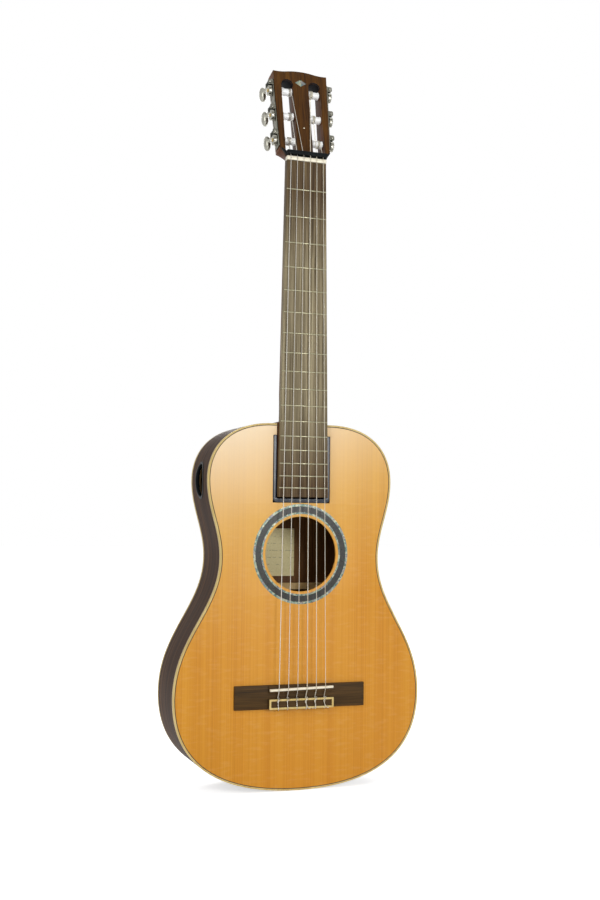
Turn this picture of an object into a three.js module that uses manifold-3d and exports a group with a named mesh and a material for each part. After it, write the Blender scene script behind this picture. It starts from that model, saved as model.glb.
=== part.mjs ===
// A small-bodied six-string classical guitar whose neck slides out of a pocket in the body.
// Millimetres. +Z runs up the neck, the face looks towards -Y, and the bass side is at -X.
// The origin is the middle of the body's bottom end, half way between face and back.
import * as THREE from "three";
import { mergeVertices } from "three/addons/utils/BufferGeometryUtils.js";
import Module from "manifold-3d";

const wasm = await Module();
wasm.setup();

// Driving dimensions.
const SCALE_LENGTH = 650;
const SADDLE_Z = 123;
const BODY_LENGTH = 445.5;
const BODY_DEPTH = 81.3;
const LOWER_BOUT = 316;
const LOWER_BOUT_Z = 114;
const WAIST = 204.6;
const WAIST_Z = 281;
const UPPER_BOUT = 238.4;
const UPPER_BOUT_Z = 376;
const TOP_FLAT = 76;
const FIT = 0.3;
const BEYOND = 5; // how far a cutter reaches past what it cuts

const PLATE_THICKNESS = 2.6;
const SIDE_THICKNESS = 2.3;
const BINDING_WIDTH = 1.8;
const BINDING_DEPTH = 5;
const LINING_WIDTH = 6;
const LINING_DEPTH = 13;
const TAIL_STRIP_WIDTH = 16;
const HOLE_RADIUS = 45.8;
const HOLE_Z = 285.7;
const ROSETTE_INNER = 49;
const ROSETTE_OUTER = 61.3;
const ROSETTE_DEPTH = 1.2;
const DOUBLER_WIDTH = 12;
const DOUBLER_THICKNESS = 2;
const PORT_LENGTH = 44;
const PORT_WIDTH = 36;
const PORT_RIM = 2.4;
const PORT_Z = 375;
const PORT_PROUD = 0.6;
const PORT_SLEEVE = 1.5;
const LABEL_WIDTH = 60;
const LABEL_HEIGHT = 61;
const LABEL_THICKNESS = 0.3;
const LABEL_OFFSET = 12;
const BRACE_WIDTH = 8;
const BRACE_DEPTH = 14;
const BACK_BRACE_DROP = 43;
const FAN_BRACE = 6;
const FAN_ANGLE = 12;
const FAN_START = 36;

const NUT_WIDTH = 51.4;
const NUT_THICKNESS = 5;
const FRETBOARD_END_Z = 355.2;
const FRETBOARD_END_WIDTH = 64;
const FRETBOARD_THICKNESS = 7;
const NUT_RISE = 1.5;
const FRETS = 17;
const FRET_WIDTH = 1.9;
const FRET_HEIGHT = 0.9;
const NECK_DEPTH = 15;
const HEEL_DEPTH = 60;
const HEEL_LENGTH = 34;
const HEEL_TIP_WIDTH = 24;

const TONGUE_WIDTH = 63;
const TONGUE_DEPTH = 30;
const POCKET_WIDTH = 65.2;
const BEZEL_WALL = 4.3;
const BEZEL_END_WALL = 5;
const BEZEL_PROUD = 0.8;
const BEZEL_TOP_Z = 431;
const NECK_BLOCK_WALL = 12;
const NECK_BLOCK_END = 14;

const BRIDGE_WIDTH = 166.8;
const BRIDGE_LENGTH = 28.8;
const BRIDGE_TOP_Z = 127.9;
const WING_HEIGHT = 3.7;
const TIE_BLOCK_WIDTH = 82.6;
const TIE_BLOCK_LENGTH = 12.4;
const TIE_BLOCK_HEIGHT = 7.6;
const TIE_HOLE_HEIGHT = 4.9;
const SADDLE_RISE = 10.4;
const SADDLE_THICKNESS = 2.8;
const SADDLE_SLANT = 2;
const SADDLE_BED_HEIGHT = 6;
const SADDLE_BED_START = 5;
const SADDLE_SLOT_FLOOR = 2;
const TRIM_WIDTH = 2.4;
const TRIM_THICKNESS = 1;
const STRING_SPREAD_SADDLE = 59.7;
const STRING_SPREAD_NUT = 42.5;
const STRING_DIAMETERS = [1.09, 0.89, 0.74, 1.02, 0.81, 0.71];

const HEAD_TILT = THREE.MathUtils.degToRad(13);
const HEAD_LENGTH = 120;
const HEAD_CROWN = 2.6;
const HEAD_TOP_WIDTH = 71.8;
const HEAD_BASE_WIDTH = 65.6;
const HEAD_SHOULDER = 11;
const HEAD_THICKNESS = 20;
const VENEER_THICKNESS = 3;
const HEAD_FACE_RISE = 4.2;
const SLOT_WIDTH = 15.8;
const SLOT_START = 7;
const SLOT_END = 109.5;
const CENTRE_RIB = 20.4;
const KEEPER_BAR = 5;
const KEEPER_RISE = 6.2;
const KEEPER_THICKNESS = 1.6;
const KEEPER_POST = 3.5;
const KEEPER_FOOT = 10.5;
const KEEPER_FOOT_RISE = 3;

const FIRST_ROLLER = 24.3;
const ROLLER_SPACING = 35;
const ROLLER_DEPTH = 7;
const ROLLER_RADIUS = 5;
const SHAFT_RADIUS = 3;
const PIN_RADIUS = 2;
const PIN_LENGTH = 4;
const TUNER_PLATE = 1.4;
const TUNER_PLATE_WIDTH = 13;
const TUNER_PLATE_FOOT = 10;
const TUNER_PLATE_HEAD = 6;
const GEAR_RADIUS = 6.5;
const GEAR_THICKNESS = 4;
const GEAR_SCREW_RADIUS = 2.4;
const GEAR_SCREW_RISE = 1.2;
const WORM_RADIUS = 2.9;
const WORM_LENGTH = 8;
const KEY_SHAFT_RADIUS = 1.5;
const KEY_COLLAR_RADIUS = 2.2;
const LUG_THICKNESS = 1.6;
const LUG_WIDTH = 6.6;
const LUG_REACH = 2.6;
const KEY_REACH = 33;
const KNOB_LENGTH = 20;
const KNOB_DEPTH = 13;
const KNOB_THICKNESS = 8.4;

const BUTTON_RADIUS = 9;
const BUTTON_HEAD = 5;
const BUTTON_PROUD = 1;
const BUTTON_TRAVEL = 3;
const BUTTON_STEM_RADIUS = 3;
const LATCH_FLANGE = 3;
const LATCH_FLANGE_THICKNESS = 1.2;
const LATCH_DEPTH = 18;
const LATCH_FLOOR = 2;
const LATCH_Z = 405;

// Places that follow from the sizes above.
const FACE_Y = -BODY_DEPTH / 2;
const BACK_Y = BODY_DEPTH / 2;
const NUT_Z = SADDLE_Z + SCALE_LENGTH;
const TOP_INSIDE_Y = FACE_Y + PLATE_THICKNESS + FIT;
const BACK_INSIDE_Y = BACK_Y - PLATE_THICKNESS - FIT;
const INNER_INSET = SIDE_THICKNESS + FIT;
const POCKET_END_Z = FRETBOARD_END_Z - 1.6;
const POCKET_FLOOR_Y = FACE_Y + TONGUE_DEPTH + FIT;
const BEZEL_WIDTH = POCKET_WIDTH + 2 * BEZEL_WALL;
const BEZEL_END_Z = POCKET_END_Z - BEZEL_END_WALL;
const NECK_BLOCK_WIDTH = BEZEL_WIDTH + 2 * FIT + 2 * NECK_BLOCK_WALL;
const NECK_BLOCK_END_Z = BEZEL_END_Z - FIT - NECK_BLOCK_END;
const TAIL_BLOCK_WIDTH = 60;
const TAIL_BLOCK_LENGTH = 18;
const NUT_TOP_Y = FACE_Y - FIT - FRETBOARD_THICKNESS - NUT_RISE;
const SPLICE_Z = NUT_Z + NUT_THICKNESS + FIT; // where the shaft ends and the headstock is glued on
const SADDLE_TOP_Y = FACE_Y - SADDLE_RISE;
const BRIDGE_END_Z = BRIDGE_TOP_Z - BRIDGE_LENGTH;
const LATCH_SLEEVE_RADIUS = BUTTON_RADIUS + LATCH_FLANGE / 2;
const GEAR_MIDDLE = FIT + TUNER_PLATE + FIT + WORM_RADIUS;
const GEAR_START = GEAR_MIDDLE - GEAR_THICKNESS / 2;
const WORM_OFFSET = GEAR_RADIUS + WORM_RADIUS + FIT;
const SLOT_MIDDLE = CENTRE_RIB / 2 + SLOT_WIDTH / 2;
const SIDE_TAPER = Math.atan2((HEAD_TOP_WIDTH - HEAD_BASE_WIDTH) / 2, HEAD_LENGTH - HEAD_SHOULDER);

// Materials.
function finish(color, roughness, metalness = 0) {
  return new THREE.MeshStandardMaterial({ color, roughness, metalness });
}

const CEDAR = finish("#d69a45", 0.45);
const ROSEWOOD = finish("#4a3226", 0.35);
const DARK_ROSEWOOD = finish("#3f3028", 0.55);
const MAHOGANY = finish("#5f3617", 0.4);
const MAPLE = finish("#d7c08a", 0.4);
const SPRUCE = finish("#cdb083", 0.7);
const ABALONE = finish("#5c6f63", 0.25);
const BLACK_GLOSS = finish("#0c0f16", 0.12);
const BONE = finish("#efe8cf", 0.4);
const PAPER = finish("#e8dfc4", 0.9);
const NYLON = finish("#e4e2da", 0.25);
const WOUND_SILVER = finish("#b9b4aa", 0.35, 0.9);
const NICKEL = finish("#b4ada0", 0.25, 1);
const WHITE_PLASTIC = finish("#efeff0", 0.3);

// Solids.
function solid(geometry) {
  const bare = geometry.clone();
  bare.deleteAttribute("normal");
  bare.deleteAttribute("uv");
  const merged = mergeVertices(bare, 1e-4);
  const mesh = new wasm.Mesh({
    numProp: 3,
    vertProperties: new Float32Array(merged.attributes.position.array),
    triVerts: new Uint32Array(merged.index.array),
  });
  return new wasm.Manifold(mesh);
}

function geometryOf(body) {
  const mesh = body.getMesh();
  const geometry = new THREE.BufferGeometry();
  geometry.setAttribute("position", new THREE.BufferAttribute(mesh.vertProperties, 3));
  geometry.setIndex(new THREE.BufferAttribute(mesh.triVerts, 1));
  return geometry;
}

function union(bodies) {
  return bodies.reduce((whole, body) => whole.add(body));
}

function cut(body, tools) {
  return tools.reduce((left, tool) => left.subtract(tool), body);
}

function piece(name, body, material) {
  const mesh = new THREE.Mesh(geometryOf(body), material);
  mesh.name = name;
  return mesh;
}

function block(x0, x1, y0, y1, z0, z1) {
  const geometry = new THREE.BoxGeometry(x1 - x0, y1 - y0, z1 - z0);
  geometry.translate((x0 + x1) / 2, (y0 + y1) / 2, (z0 + z1) / 2);
  return solid(geometry);
}

function rod(from, to, radius, sides = 12) {
  const along = new THREE.Vector3().subVectors(to, from);
  const geometry = new THREE.CylinderGeometry(radius, radius, along.length(), sides);
  geometry.translate(0, along.length() / 2, 0);
  const up = new THREE.Vector3(0, 1, 0);
  geometry.applyQuaternion(new THREE.Quaternion().setFromUnitVectors(up, along.normalize()));
  geometry.translate(from.x, from.y, from.z);
  return solid(geometry);
}

function at(x, y, z) {
  return new THREE.Vector3(x, y, z);
}

// A plate drawn in X and Z, filling y0 to y1.
function slab(points, y0, y1, holes = []) {
  const shape = new THREE.Shape(points);
  shape.holes = holes.map((hole) => new THREE.Path(hole));
  const geometry = new THREE.ExtrudeGeometry(shape, { depth: y1 - y0, bevelEnabled: false });
  geometry.rotateX(Math.PI / 2);
  geometry.translate(0, y1, 0);
  return solid(geometry);
}

function ovalPoints(centreX, centreZ, radiusX, radiusZ, count) {
  return new THREE.EllipseCurve(centreX, centreZ, radiusX, radiusZ).getPoints(count).slice(0, count);
}

function ringSlab(centreZ, inner, outer, y0, y1, count) {
  const hole = ovalPoints(0, centreZ, inner, inner, count);
  return slab(ovalPoints(0, centreZ, outer, outer, count), y0, y1, [hole]);
}

// The body's outline: the treble half, from the bottom's middle to the top's middle.
function bend(from, handleFrom, handleTo, to) {
  const corner = (pair) => new THREE.Vector2(pair[0], pair[1]);
  const curve = new THREE.CubicBezierCurve(corner(from), corner(handleFrom), corner(handleTo), corner(to));
  return curve.getPoints(10).slice(1);
}

function trebleHalf() {
  const lower = [LOWER_BOUT / 2, LOWER_BOUT_Z];
  const waist = [WAIST / 2, WAIST_Z];
  const upper = [UPPER_BOUT / 2, UPPER_BOUT_Z];
  const corner = [TOP_FLAT / 2, BODY_LENGTH];
  const belly = 0.55 * LOWER_BOUT_Z;
  const hips = WAIST_Z - LOWER_BOUT_Z;
  const chest = UPPER_BOUT_Z - WAIST_Z;
  const shoulder = BODY_LENGTH - UPPER_BOUT_Z;
  const topReach = 0.702 * (upper[0] - corner[0]);
  return [
    new THREE.Vector2(0, 0),
    ...bend([0, 0], [0.75 * lower[0], 0], [lower[0], lower[1] - belly], lower),
    ...bend(lower, [lower[0], lower[1] + 0.44 * hips], [waist[0], waist[1] - 0.375 * hips], waist),
    ...bend(waist, [waist[0], waist[1] + 0.36 * chest], [upper[0], upper[1] - 0.37 * chest], upper),
    ...bend(upper, [upper[0], upper[1] + 0.53 * shoulder], [corner[0] + topReach, corner[1]], corner),
    new THREE.Vector2(0, BODY_LENGTH),
  ];
}

// The half outline moved inwards by one distance everywhere.
function insetHalf(distance) {
  const points = trebleHalf();
  const last = points.length - 1;
  return points.map((point, i) => {
    const before = i === 0 ? new THREE.Vector2(-points[1].x, points[1].y) : points[i - 1];
    const after = i === last ? new THREE.Vector2(-points[i - 1].x, points[i - 1].y) : points[i + 1];
    const into = new THREE.Vector2().subVectors(point, before).normalize();
    const out = new THREE.Vector2().subVectors(after, point).normalize();
    const inward = new THREE.Vector2(-into.y - out.y, into.x + out.x).normalize();
    const stretch = 1 / Math.sqrt((1 + into.dot(out)) / 2);
    return point.clone().addScaledVector(inward, distance * stretch);
  });
}

function bodyOutline(distance) {
  const right = insetHalf(distance);
  const left = right.slice(1, -1).reverse();
  return [...right, ...left.map((point) => new THREE.Vector2(-point.x, point.y))];
}

function bodyRing(outerInset, innerInset, y0, y1) {
  return slab(bodyOutline(outerInset), y0, y1, [bodyOutline(innerInset)]);
}

// Half width of the body's inside at one height, for braces that reach from side to side.
function insideHalfWidth(z) {
  const points = insetHalf(INNER_INSET + LINING_WIDTH + FIT);
  const next = points.findIndex((point, i) => i > 0 && point.y >= z);
  const low = points[next - 1];
  const share = (z - low.y) / (points[next].y - low.y);
  return low.x + share * (points[next].x - low.x);
}

// The room that the neck's tongue slides through, taken out of every body piece it meets.
function pocketRoom() {
  const half = POCKET_WIDTH / 2;
  return block(-half, half, FACE_Y - BEYOND, POCKET_FLOOR_Y, POCKET_END_Z, BODY_LENGTH + BEYOND);
}

function bezelRoom() {
  const half = BEZEL_WIDTH / 2 + FIT;
  return block(-half, half, FACE_Y - BEYOND, POCKET_FLOOR_Y, BEZEL_END_Z - FIT, BEZEL_TOP_Z + FIT);
}

function portCutter(length, width) {
  const reach = UPPER_BOUT / 3;
  const oval = slab(ovalPoints(0, 0, width / 2, length / 2, 28), -reach, reach);
  return oval.rotate([0, 0, 90]).translate([-UPPER_BOUT / 2, 0, PORT_Z]);
}

// One half of the space round the body, bass at -1 and treble at 1.
function sideRoom(side) {
  const [x0, x1] = side < 0 ? [-LOWER_BOUT, 0] : [0, LOWER_BOUT];
  return block(x0, x1, FACE_Y - BEYOND, BACK_Y + BEYOND, -BEYOND, BODY_LENGTH + BEYOND);
}

function neckBlockRoom() {
  const half = NECK_BLOCK_WIDTH / 2 + FIT;
  return block(-half, half, FACE_Y, BACK_Y, NECK_BLOCK_END_Z - FIT, BODY_LENGTH);
}

function tailBlockRoom() {
  const half = TAIL_BLOCK_WIDTH / 2 + FIT;
  return block(-half, half, FACE_Y, BACK_Y, 0, TAIL_BLOCK_LENGTH + INNER_INSET + LINING_WIDTH);
}

function latchRoom() {
  const floor = at(0, BACK_Y - LATCH_DEPTH - FIT, LATCH_Z);
  const sleeve = rod(at(0, BACK_Y + BEYOND, LATCH_Z), floor, LATCH_SLEEVE_RADIUS + FIT, 20);
  const stem = rod(at(0, BACK_Y, LATCH_Z), at(0, FACE_Y, LATCH_Z), BUTTON_STEM_RADIUS + FIT, 12);
  return union([sleeve, stem]);
}

function makeBody() {
  const group = new THREE.Group();
  addPlates(group);
  addRibs(group);
  addLinings(group);
  addBlocks(group);
  addBraces(group);
  group.add(makeBezel(), makeLabel(), makePortRing(), makeLatchHousing());
  return group;
}

function addPlates(group) {
  const hole = ovalPoints(0, HOLE_Z, HOLE_RADIUS, HOLE_RADIUS, 40);
  const plate = slab(bodyOutline(BINDING_WIDTH + FIT), FACE_Y, FACE_Y + PLATE_THICKNESS, [hole]);
  const grooveFloor = FACE_Y + ROSETTE_DEPTH;
  const groove = ringSlab(
    HOLE_Z, ROSETTE_INNER - FIT, ROSETTE_OUTER + FIT, FACE_Y - BEYOND, grooveFloor + FIT, 40,
  );
  group.add(piece("soundboard", cut(plate, [groove, pocketRoom(), bezelRoom()]), CEDAR));
  const rosette = ringSlab(HOLE_Z, ROSETTE_INNER, ROSETTE_OUTER, FACE_Y, grooveFloor, 40);
  group.add(piece("rosette", rosette, ABALONE));
  const back = slab(bodyOutline(BINDING_WIDTH + FIT), BACK_Y - PLATE_THICKNESS, BACK_Y);
  group.add(piece("back_plate", cut(back, [latchRoom()]), ROSEWOOD));
  const doubler = ringSlab(
    HOLE_Z, HOLE_RADIUS + 1, HOLE_RADIUS + 1 + DOUBLER_WIDTH,
    TOP_INSIDE_Y, TOP_INSIDE_Y + DOUBLER_THICKNESS, 36,
  );
  group.add(piece("sound_hole_doubler", cut(doubler, [neckBlockRoom()]), SPRUCE));
}

function addRibs(group) {
  const front = FACE_Y + BINDING_DEPTH + FIT;
  const half = TAIL_STRIP_WIDTH / 2;
  const seam = block(-FIT / 2, FIT / 2, FACE_Y, BACK_Y, -BEYOND, BODY_LENGTH + BEYOND);
  const stripRoom = block(-half - FIT, half + FIT, FACE_Y, BACK_Y, -BEYOND, 2 * SIDE_THICKNESS);
  const ribs = cut(bodyRing(0, SIDE_THICKNESS, front, -front), [seam, stripRoom, pocketRoom()]);
  const port = portCutter(PORT_LENGTH, PORT_WIDTH);
  group.add(piece("side_bass", cut(ribs.intersect(sideRoom(-1)), [port]), ROSEWOOD));
  group.add(piece("side_treble", ribs.intersect(sideRoom(1)), ROSEWOOD));
  const strip = block(-half, half, front, -front, 0, SIDE_THICKNESS);
  group.add(piece("tail_strip", strip.intersect(slab(bodyOutline(0), front, -front)), MAPLE));
  const topBinding = bodyRing(0, BINDING_WIDTH, FACE_Y, FACE_Y + BINDING_DEPTH);
  group.add(piece("top_binding", cut(topBinding, [pocketRoom()]), MAPLE));
  group.add(piece("back_binding", bodyRing(0, BINDING_WIDTH, BACK_Y - BINDING_DEPTH, BACK_Y), MAPLE));
}

function addLinings(group) {
  const inner = INNER_INSET + LINING_WIDTH;
  const rings = {
    top_lining: bodyRing(INNER_INSET, inner, TOP_INSIDE_Y, TOP_INSIDE_Y + LINING_DEPTH),
    back_lining: bodyRing(INNER_INSET, inner, BACK_INSIDE_Y - LINING_DEPTH, BACK_INSIDE_Y),
  };
  for (const [name, ring] of Object.entries(rings)) {
    const clear = cut(ring, [neckBlockRoom(), tailBlockRoom()]);
    group.add(piece(`${name}_bass`, clear.intersect(sideRoom(-1)), SPRUCE));
    group.add(piece(`${name}_treble`, clear.intersect(sideRoom(1)), SPRUCE));
  }
}

function addBlocks(group) {
  const inside = slab(bodyOutline(INNER_INSET), TOP_INSIDE_Y, BACK_INSIDE_Y);
  const half = NECK_BLOCK_WIDTH / 2;
  const neckBlock = block(-half, half, TOP_INSIDE_Y, BACK_INSIDE_Y, NECK_BLOCK_END_Z, BODY_LENGTH);
  const rooms = [pocketRoom(), bezelRoom(), latchRoom()];
  group.add(piece("neck_block", cut(neckBlock.intersect(inside), rooms), MAHOGANY));
  const tailHalf = TAIL_BLOCK_WIDTH / 2;
  const tailTop = TAIL_BLOCK_LENGTH + INNER_INSET;
  const tailBlock = block(-tailHalf, tailHalf, TOP_INSIDE_Y, BACK_INSIDE_Y, 0, tailTop);
  group.add(piece("tail_block", tailBlock.intersect(inside), MAHOGANY));
}

function makeBezel() {
  const half = BEZEL_WIDTH / 2;
  const outer = block(-half, half, FACE_Y - BEZEL_PROUD, POCKET_FLOOR_Y - FIT, BEZEL_END_Z, BEZEL_TOP_Z);
  return piece("pocket_bezel", cut(outer, [pocketRoom()]), BLACK_GLOSS);
}

function makeLabel() {
  const label = block(
    -LABEL_OFFSET - LABEL_WIDTH / 2, LABEL_WIDTH / 2 - LABEL_OFFSET,
    BACK_INSIDE_Y - LABEL_THICKNESS, BACK_INSIDE_Y, HOLE_Z - LABEL_HEIGHT / 2, HOLE_Z + LABEL_HEIGHT / 2,
  );
  return piece("sound_hole_label", label, PAPER);
}

function makePortRing() {
  const outer = portCutter(PORT_LENGTH - 2 * FIT, PORT_WIDTH - 2 * FIT);
  const inner = portCutter(PORT_LENGTH - 2 * PORT_RIM, PORT_WIDTH - 2 * PORT_RIM);
  const front = -PORT_WIDTH / 2 - BEYOND;
  const band = bodyRing(-PORT_PROUD, SIDE_THICKNESS + PORT_SLEEVE, front, -front);
  return piece("side_port_ring", cut(band.intersect(outer), [inner]), BLACK_GLOSS);
}

// A brace across the body, tapered to thin ends.
function crossBrace(name, z, y0, height, width) {
  const half = Math.min(insideHalfWidth(z - width / 2), insideHalfWidth(z + width / 2));
  const scoop = Math.min(30, half / 3);
  const points = [
    [-half, 0], [half, 0], [half, 0.3 * height],
    [half - scoop, height], [scoop - half, height], [-half, 0.3 * height],
  ];
  const shape = new THREE.Shape(points.map(([x, y]) => new THREE.Vector2(x, y)));
  const geometry = new THREE.ExtrudeGeometry(shape, { depth: width, bevelEnabled: false });
  if (y0 > 0) {
    geometry.rotateX(Math.PI);
    geometry.translate(0, y0, z + width / 2);
  } else {
    geometry.translate(0, y0, z - width / 2);
  }
  return piece(name, solid(geometry), SPRUCE);
}

function addBraces(group) {
  const lowerZ = HOLE_Z - ROSETTE_OUTER - 0.75 * BRACE_WIDTH;
  group.add(crossBrace("lower_brace", lowerZ, TOP_INSIDE_Y, BRACE_DEPTH, BRACE_WIDTH));
  const fanLength = lowerZ - FAN_START - 1.5 * BRACE_WIDTH;
  for (const side of [-1, 0, 1]) {
    const fan = block(-FAN_BRACE / 2, FAN_BRACE / 2, TOP_INSIDE_Y, TOP_INSIDE_Y + FAN_BRACE, 0, fanLength);
    const placed = fan.rotate([0, -side * FAN_ANGLE, 0]).translate([side * LOWER_BOUT / 5, 0, FAN_START]);
    group.add(piece(`fan_brace_${side + 2}`, placed, SPRUCE));
  }
  const backZ = HOLE_Z - BACK_BRACE_DROP;
  group.add(crossBrace("back_brace", backZ, BACK_INSIDE_Y, BRACE_DEPTH, BRACE_WIDTH));
}

// The neck's lock: a sleeve in the back plate and the button that slides in it.
function makeLatchHousing() {
  const centre = (y) => at(0, y, LATCH_Z);
  const flangeY = BACK_Y + FIT;
  const floorY = BACK_Y - LATCH_DEPTH;
  const flangeRadius = BUTTON_RADIUS + LATCH_FLANGE;
  const flange = rod(centre(flangeY), centre(flangeY + LATCH_FLANGE_THICKNESS), flangeRadius, 20);
  const sleeve = rod(centre(floorY), centre(flangeY), LATCH_SLEEVE_RADIUS - FIT, 20);
  const bore = rod(centre(floorY + LATCH_FLOOR), centre(BACK_Y + BEYOND), BUTTON_RADIUS + FIT, 20);
  const stemHole = rod(centre(floorY - BEYOND), centre(BACK_Y), BUTTON_STEM_RADIUS + FIT, 12);
  return piece("latch_housing", cut(union([flange, sleeve]), [bore, stemHole]), NICKEL);
}

function makeLatchButton() {
  const frontY = BACK_Y - BUTTON_HEAD;
  const centre = (y) => at(0, y, LATCH_Z);
  const head = rod(centre(frontY), centre(BACK_Y + BUTTON_PROUD), BUTTON_RADIUS, 20);
  const stemEnd = POCKET_FLOOR_Y + BUTTON_TRAVEL + 2 * FIT;
  const stem = rod(centre(stemEnd), centre(frontY + 1), BUTTON_STEM_RADIUS, 12);
  return piece("latch_button", union([head, stem]), NICKEL);
}

// The bridge and what it carries.
function makeBridge() {
  const group = new THREE.Group();
  const back = FACE_Y - FIT;
  const halfTie = TIE_BLOCK_WIDTH / 2;
  const tieTop = back - TIE_BLOCK_HEIGHT;
  const tieEnd = BRIDGE_END_Z + TIE_BLOCK_LENGTH;
  const base = block(-BRIDGE_WIDTH / 2, BRIDGE_WIDTH / 2, back - WING_HEIGHT, back, BRIDGE_END_Z, BRIDGE_TOP_Z);
  const tie = block(-halfTie, halfTie, tieTop, back, BRIDGE_END_Z, tieEnd);
  const bedTop = back - SADDLE_BED_HEIGHT;
  const bed = block(-halfTie, halfTie, bedTop, back, SADDLE_Z - SADDLE_BED_START, BRIDGE_TOP_Z);
  const slotFloor = back - SADDLE_SLOT_FLOOR;
  const slot = saddleBar(SADDLE_THICKNESS / 2 + FIT, SADDLE_TOP_Y - BEYOND, slotFloor, halfTie - 2 * FIT);
  const holes = stringLines().map(({ tieX, radius }) => {
    const y = back - TIE_HOLE_HEIGHT;
    return rod(at(tieX, y, BRIDGE_END_Z - BEYOND), at(tieX, y, tieEnd + BEYOND), radius + FIT, 8);
  });
  group.add(piece("bridge", cut(union([base, tie, bed]), [slot, ...holes]), DARK_ROSEWOOD));
  const bar = saddleBar(SADDLE_THICKNESS / 2, SADDLE_TOP_Y, slotFloor - FIT, halfTie - 3 * FIT);
  group.add(piece("saddle", bar, BONE));
  group.add(makeTrim(halfTie, tieTop - FIT, tieEnd));
  return group;
}

function makeTrim(halfWidth, back, end) {
  const outer = block(-halfWidth, halfWidth, back - TRIM_THICKNESS, back, BRIDGE_END_Z, end);
  const halfInner = halfWidth - TRIM_WIDTH;
  const inner = block(
    -halfInner, halfInner, back - BEYOND, back + BEYOND, BRIDGE_END_Z + TRIM_WIDTH, end - TRIM_WIDTH,
  );
  return piece("tie_block_trim", cut(outer, [inner]), MAPLE);
}

// The saddle slants so that the bass strings are a little longer.
function saddleBar(halfThickness, y0, y1, halfWidth) {
  const drop = SADDLE_SLANT / 2;
  const corners = [
    [-halfWidth, SADDLE_Z - drop - halfThickness],
    [halfWidth, SADDLE_Z + drop - halfThickness],
    [halfWidth, SADDLE_Z + drop + halfThickness],
    [-halfWidth, SADDLE_Z - drop + halfThickness],
  ];
  return slab(corners.map(([x, z]) => new THREE.Vector2(x, z)), y0, y1);
}

// Strings, from the bass side. Roller numbers count along each slot from the nut.
const ROLLERS = [[-1, 0], [-1, 1], [-1, 2], [1, 2], [1, 1], [1, 0]];
const WRAP_PLACES = [11.1, 4.5, 2.7, 2.7, 4.5, 11.1]; // from the centre rib's edge

function stringLines() {
  return STRING_DIAMETERS.map((diameter, i) => {
    const share = i / (STRING_DIAMETERS.length - 1) - 0.5;
    const [side, row] = ROLLERS[i];
    return {
      radius: diameter / 2,
      nutX: share * STRING_SPREAD_NUT,
      tieX: share * STRING_SPREAD_SADDLE,
      side,
      u: FIRST_ROLLER + row * ROLLER_SPACING,
      wrapX: side * (CENTRE_RIB / 2 + WRAP_PLACES[i]),
    };
  });
}

// A route with sharp corners, so that a section run along it turns at each corner exactly.
class CornerPath extends THREE.Curve {
  constructor(corners) {
    super();
    this.corners = corners;
  }

  indexAt(u) {
    return Math.round(u * (this.corners.length - 1));
  }

  getPointAt(u) {
    return this.corners[this.indexAt(u)].clone();
  }

  getTangentAt(u) {
    const i = this.indexAt(u);
    const here = this.corners[i];
    const tangent = new THREE.Vector3();
    for (const [from, to] of [[this.corners[i - 1], here], [here, this.corners[i + 1]]]) {
      if (from && to) tangent.add(new THREE.Vector3().subVectors(to, from).normalize());
    }
    return tangent.normalize();
  }
}

function wire(corners, radius) {
  const section = new THREE.Shape(ovalPoints(0, 0, radius, radius, 8));
  const extrudePath = new CornerPath(corners);
  return solid(new THREE.ExtrudeGeometry(section, { extrudePath, steps: corners.length - 1 }));
}

function makeString(line, i) {
  const { radius, nutX, tieX } = line;
  const saddleBackZ = SADDLE_Z + SADDLE_SLANT * (tieX / TIE_BLOCK_WIDTH) - SADDLE_THICKNESS / 2 - FIT;
  const tieY = FACE_Y - FIT - TIE_HOLE_HEIGHT;
  const nutY = NUT_TOP_Y - FIT - radius;
  const corners = [
    at(tieX, tieY, BRIDGE_END_Z + 1),
    at(tieX, tieY, BRIDGE_END_Z + TIE_BLOCK_LENGTH + 1),
    at(tieX, SADDLE_TOP_Y - FIT - radius, saddleBackZ),
    at(nutX, nutY, NUT_Z),
    at(nutX, nutY, NUT_Z + NUT_THICKNESS + FIT),
    headPoint(line.wrapX, line.u, ROLLER_RADIUS + FIT + radius - ROLLER_DEPTH),
  ];
  return piece(`string_${6 - i}`, wire(corners, radius), i < 3 ? WOUND_SILVER : NYLON);
}

// The headstock's own frame: x across, u up along its face from the nut, rise out of its face.
function headPoint(x, u, rise) {
  return at(x, u, rise).applyMatrix4(HEAD_MATRIX);
}

const HEAD_MATRIX = new THREE.Matrix4()
  .makeTranslation(0, FACE_Y - HEAD_FACE_RISE, NUT_Z + NUT_THICKNESS + FIT)
  .multiply(new THREE.Matrix4().makeRotationX(Math.PI / 2 - HEAD_TILT));

function inHeadFrame(body) {
  return body.transform(HEAD_MATRIX.toArray());
}

function headOutline() {
  const base = NUT_WIDTH / 2 + 1;
  const shoulder = HEAD_BASE_WIDTH / 2;
  const tip = HEAD_TOP_WIDTH / 2;
  const shape = new THREE.Shape();
  shape.moveTo(-base, 0);
  shape.lineTo(base, 0);
  shape.quadraticCurveTo(base + 2, HEAD_SHOULDER * 0.7, shoulder, HEAD_SHOULDER);
  shape.lineTo(tip, HEAD_LENGTH);
  shape.bezierCurveTo(tip / 2, HEAD_LENGTH - 1, tip / 2, HEAD_LENGTH + HEAD_CROWN, 0, HEAD_LENGTH + HEAD_CROWN);
  shape.bezierCurveTo(-tip / 2, HEAD_LENGTH + HEAD_CROWN, -tip / 2, HEAD_LENGTH - 1, -tip, HEAD_LENGTH);
  shape.lineTo(-shoulder, HEAD_SHOULDER);
  shape.quadraticCurveTo(-base - 2, HEAD_SHOULDER * 0.7, -base, 0);
  return shape;
}

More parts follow.
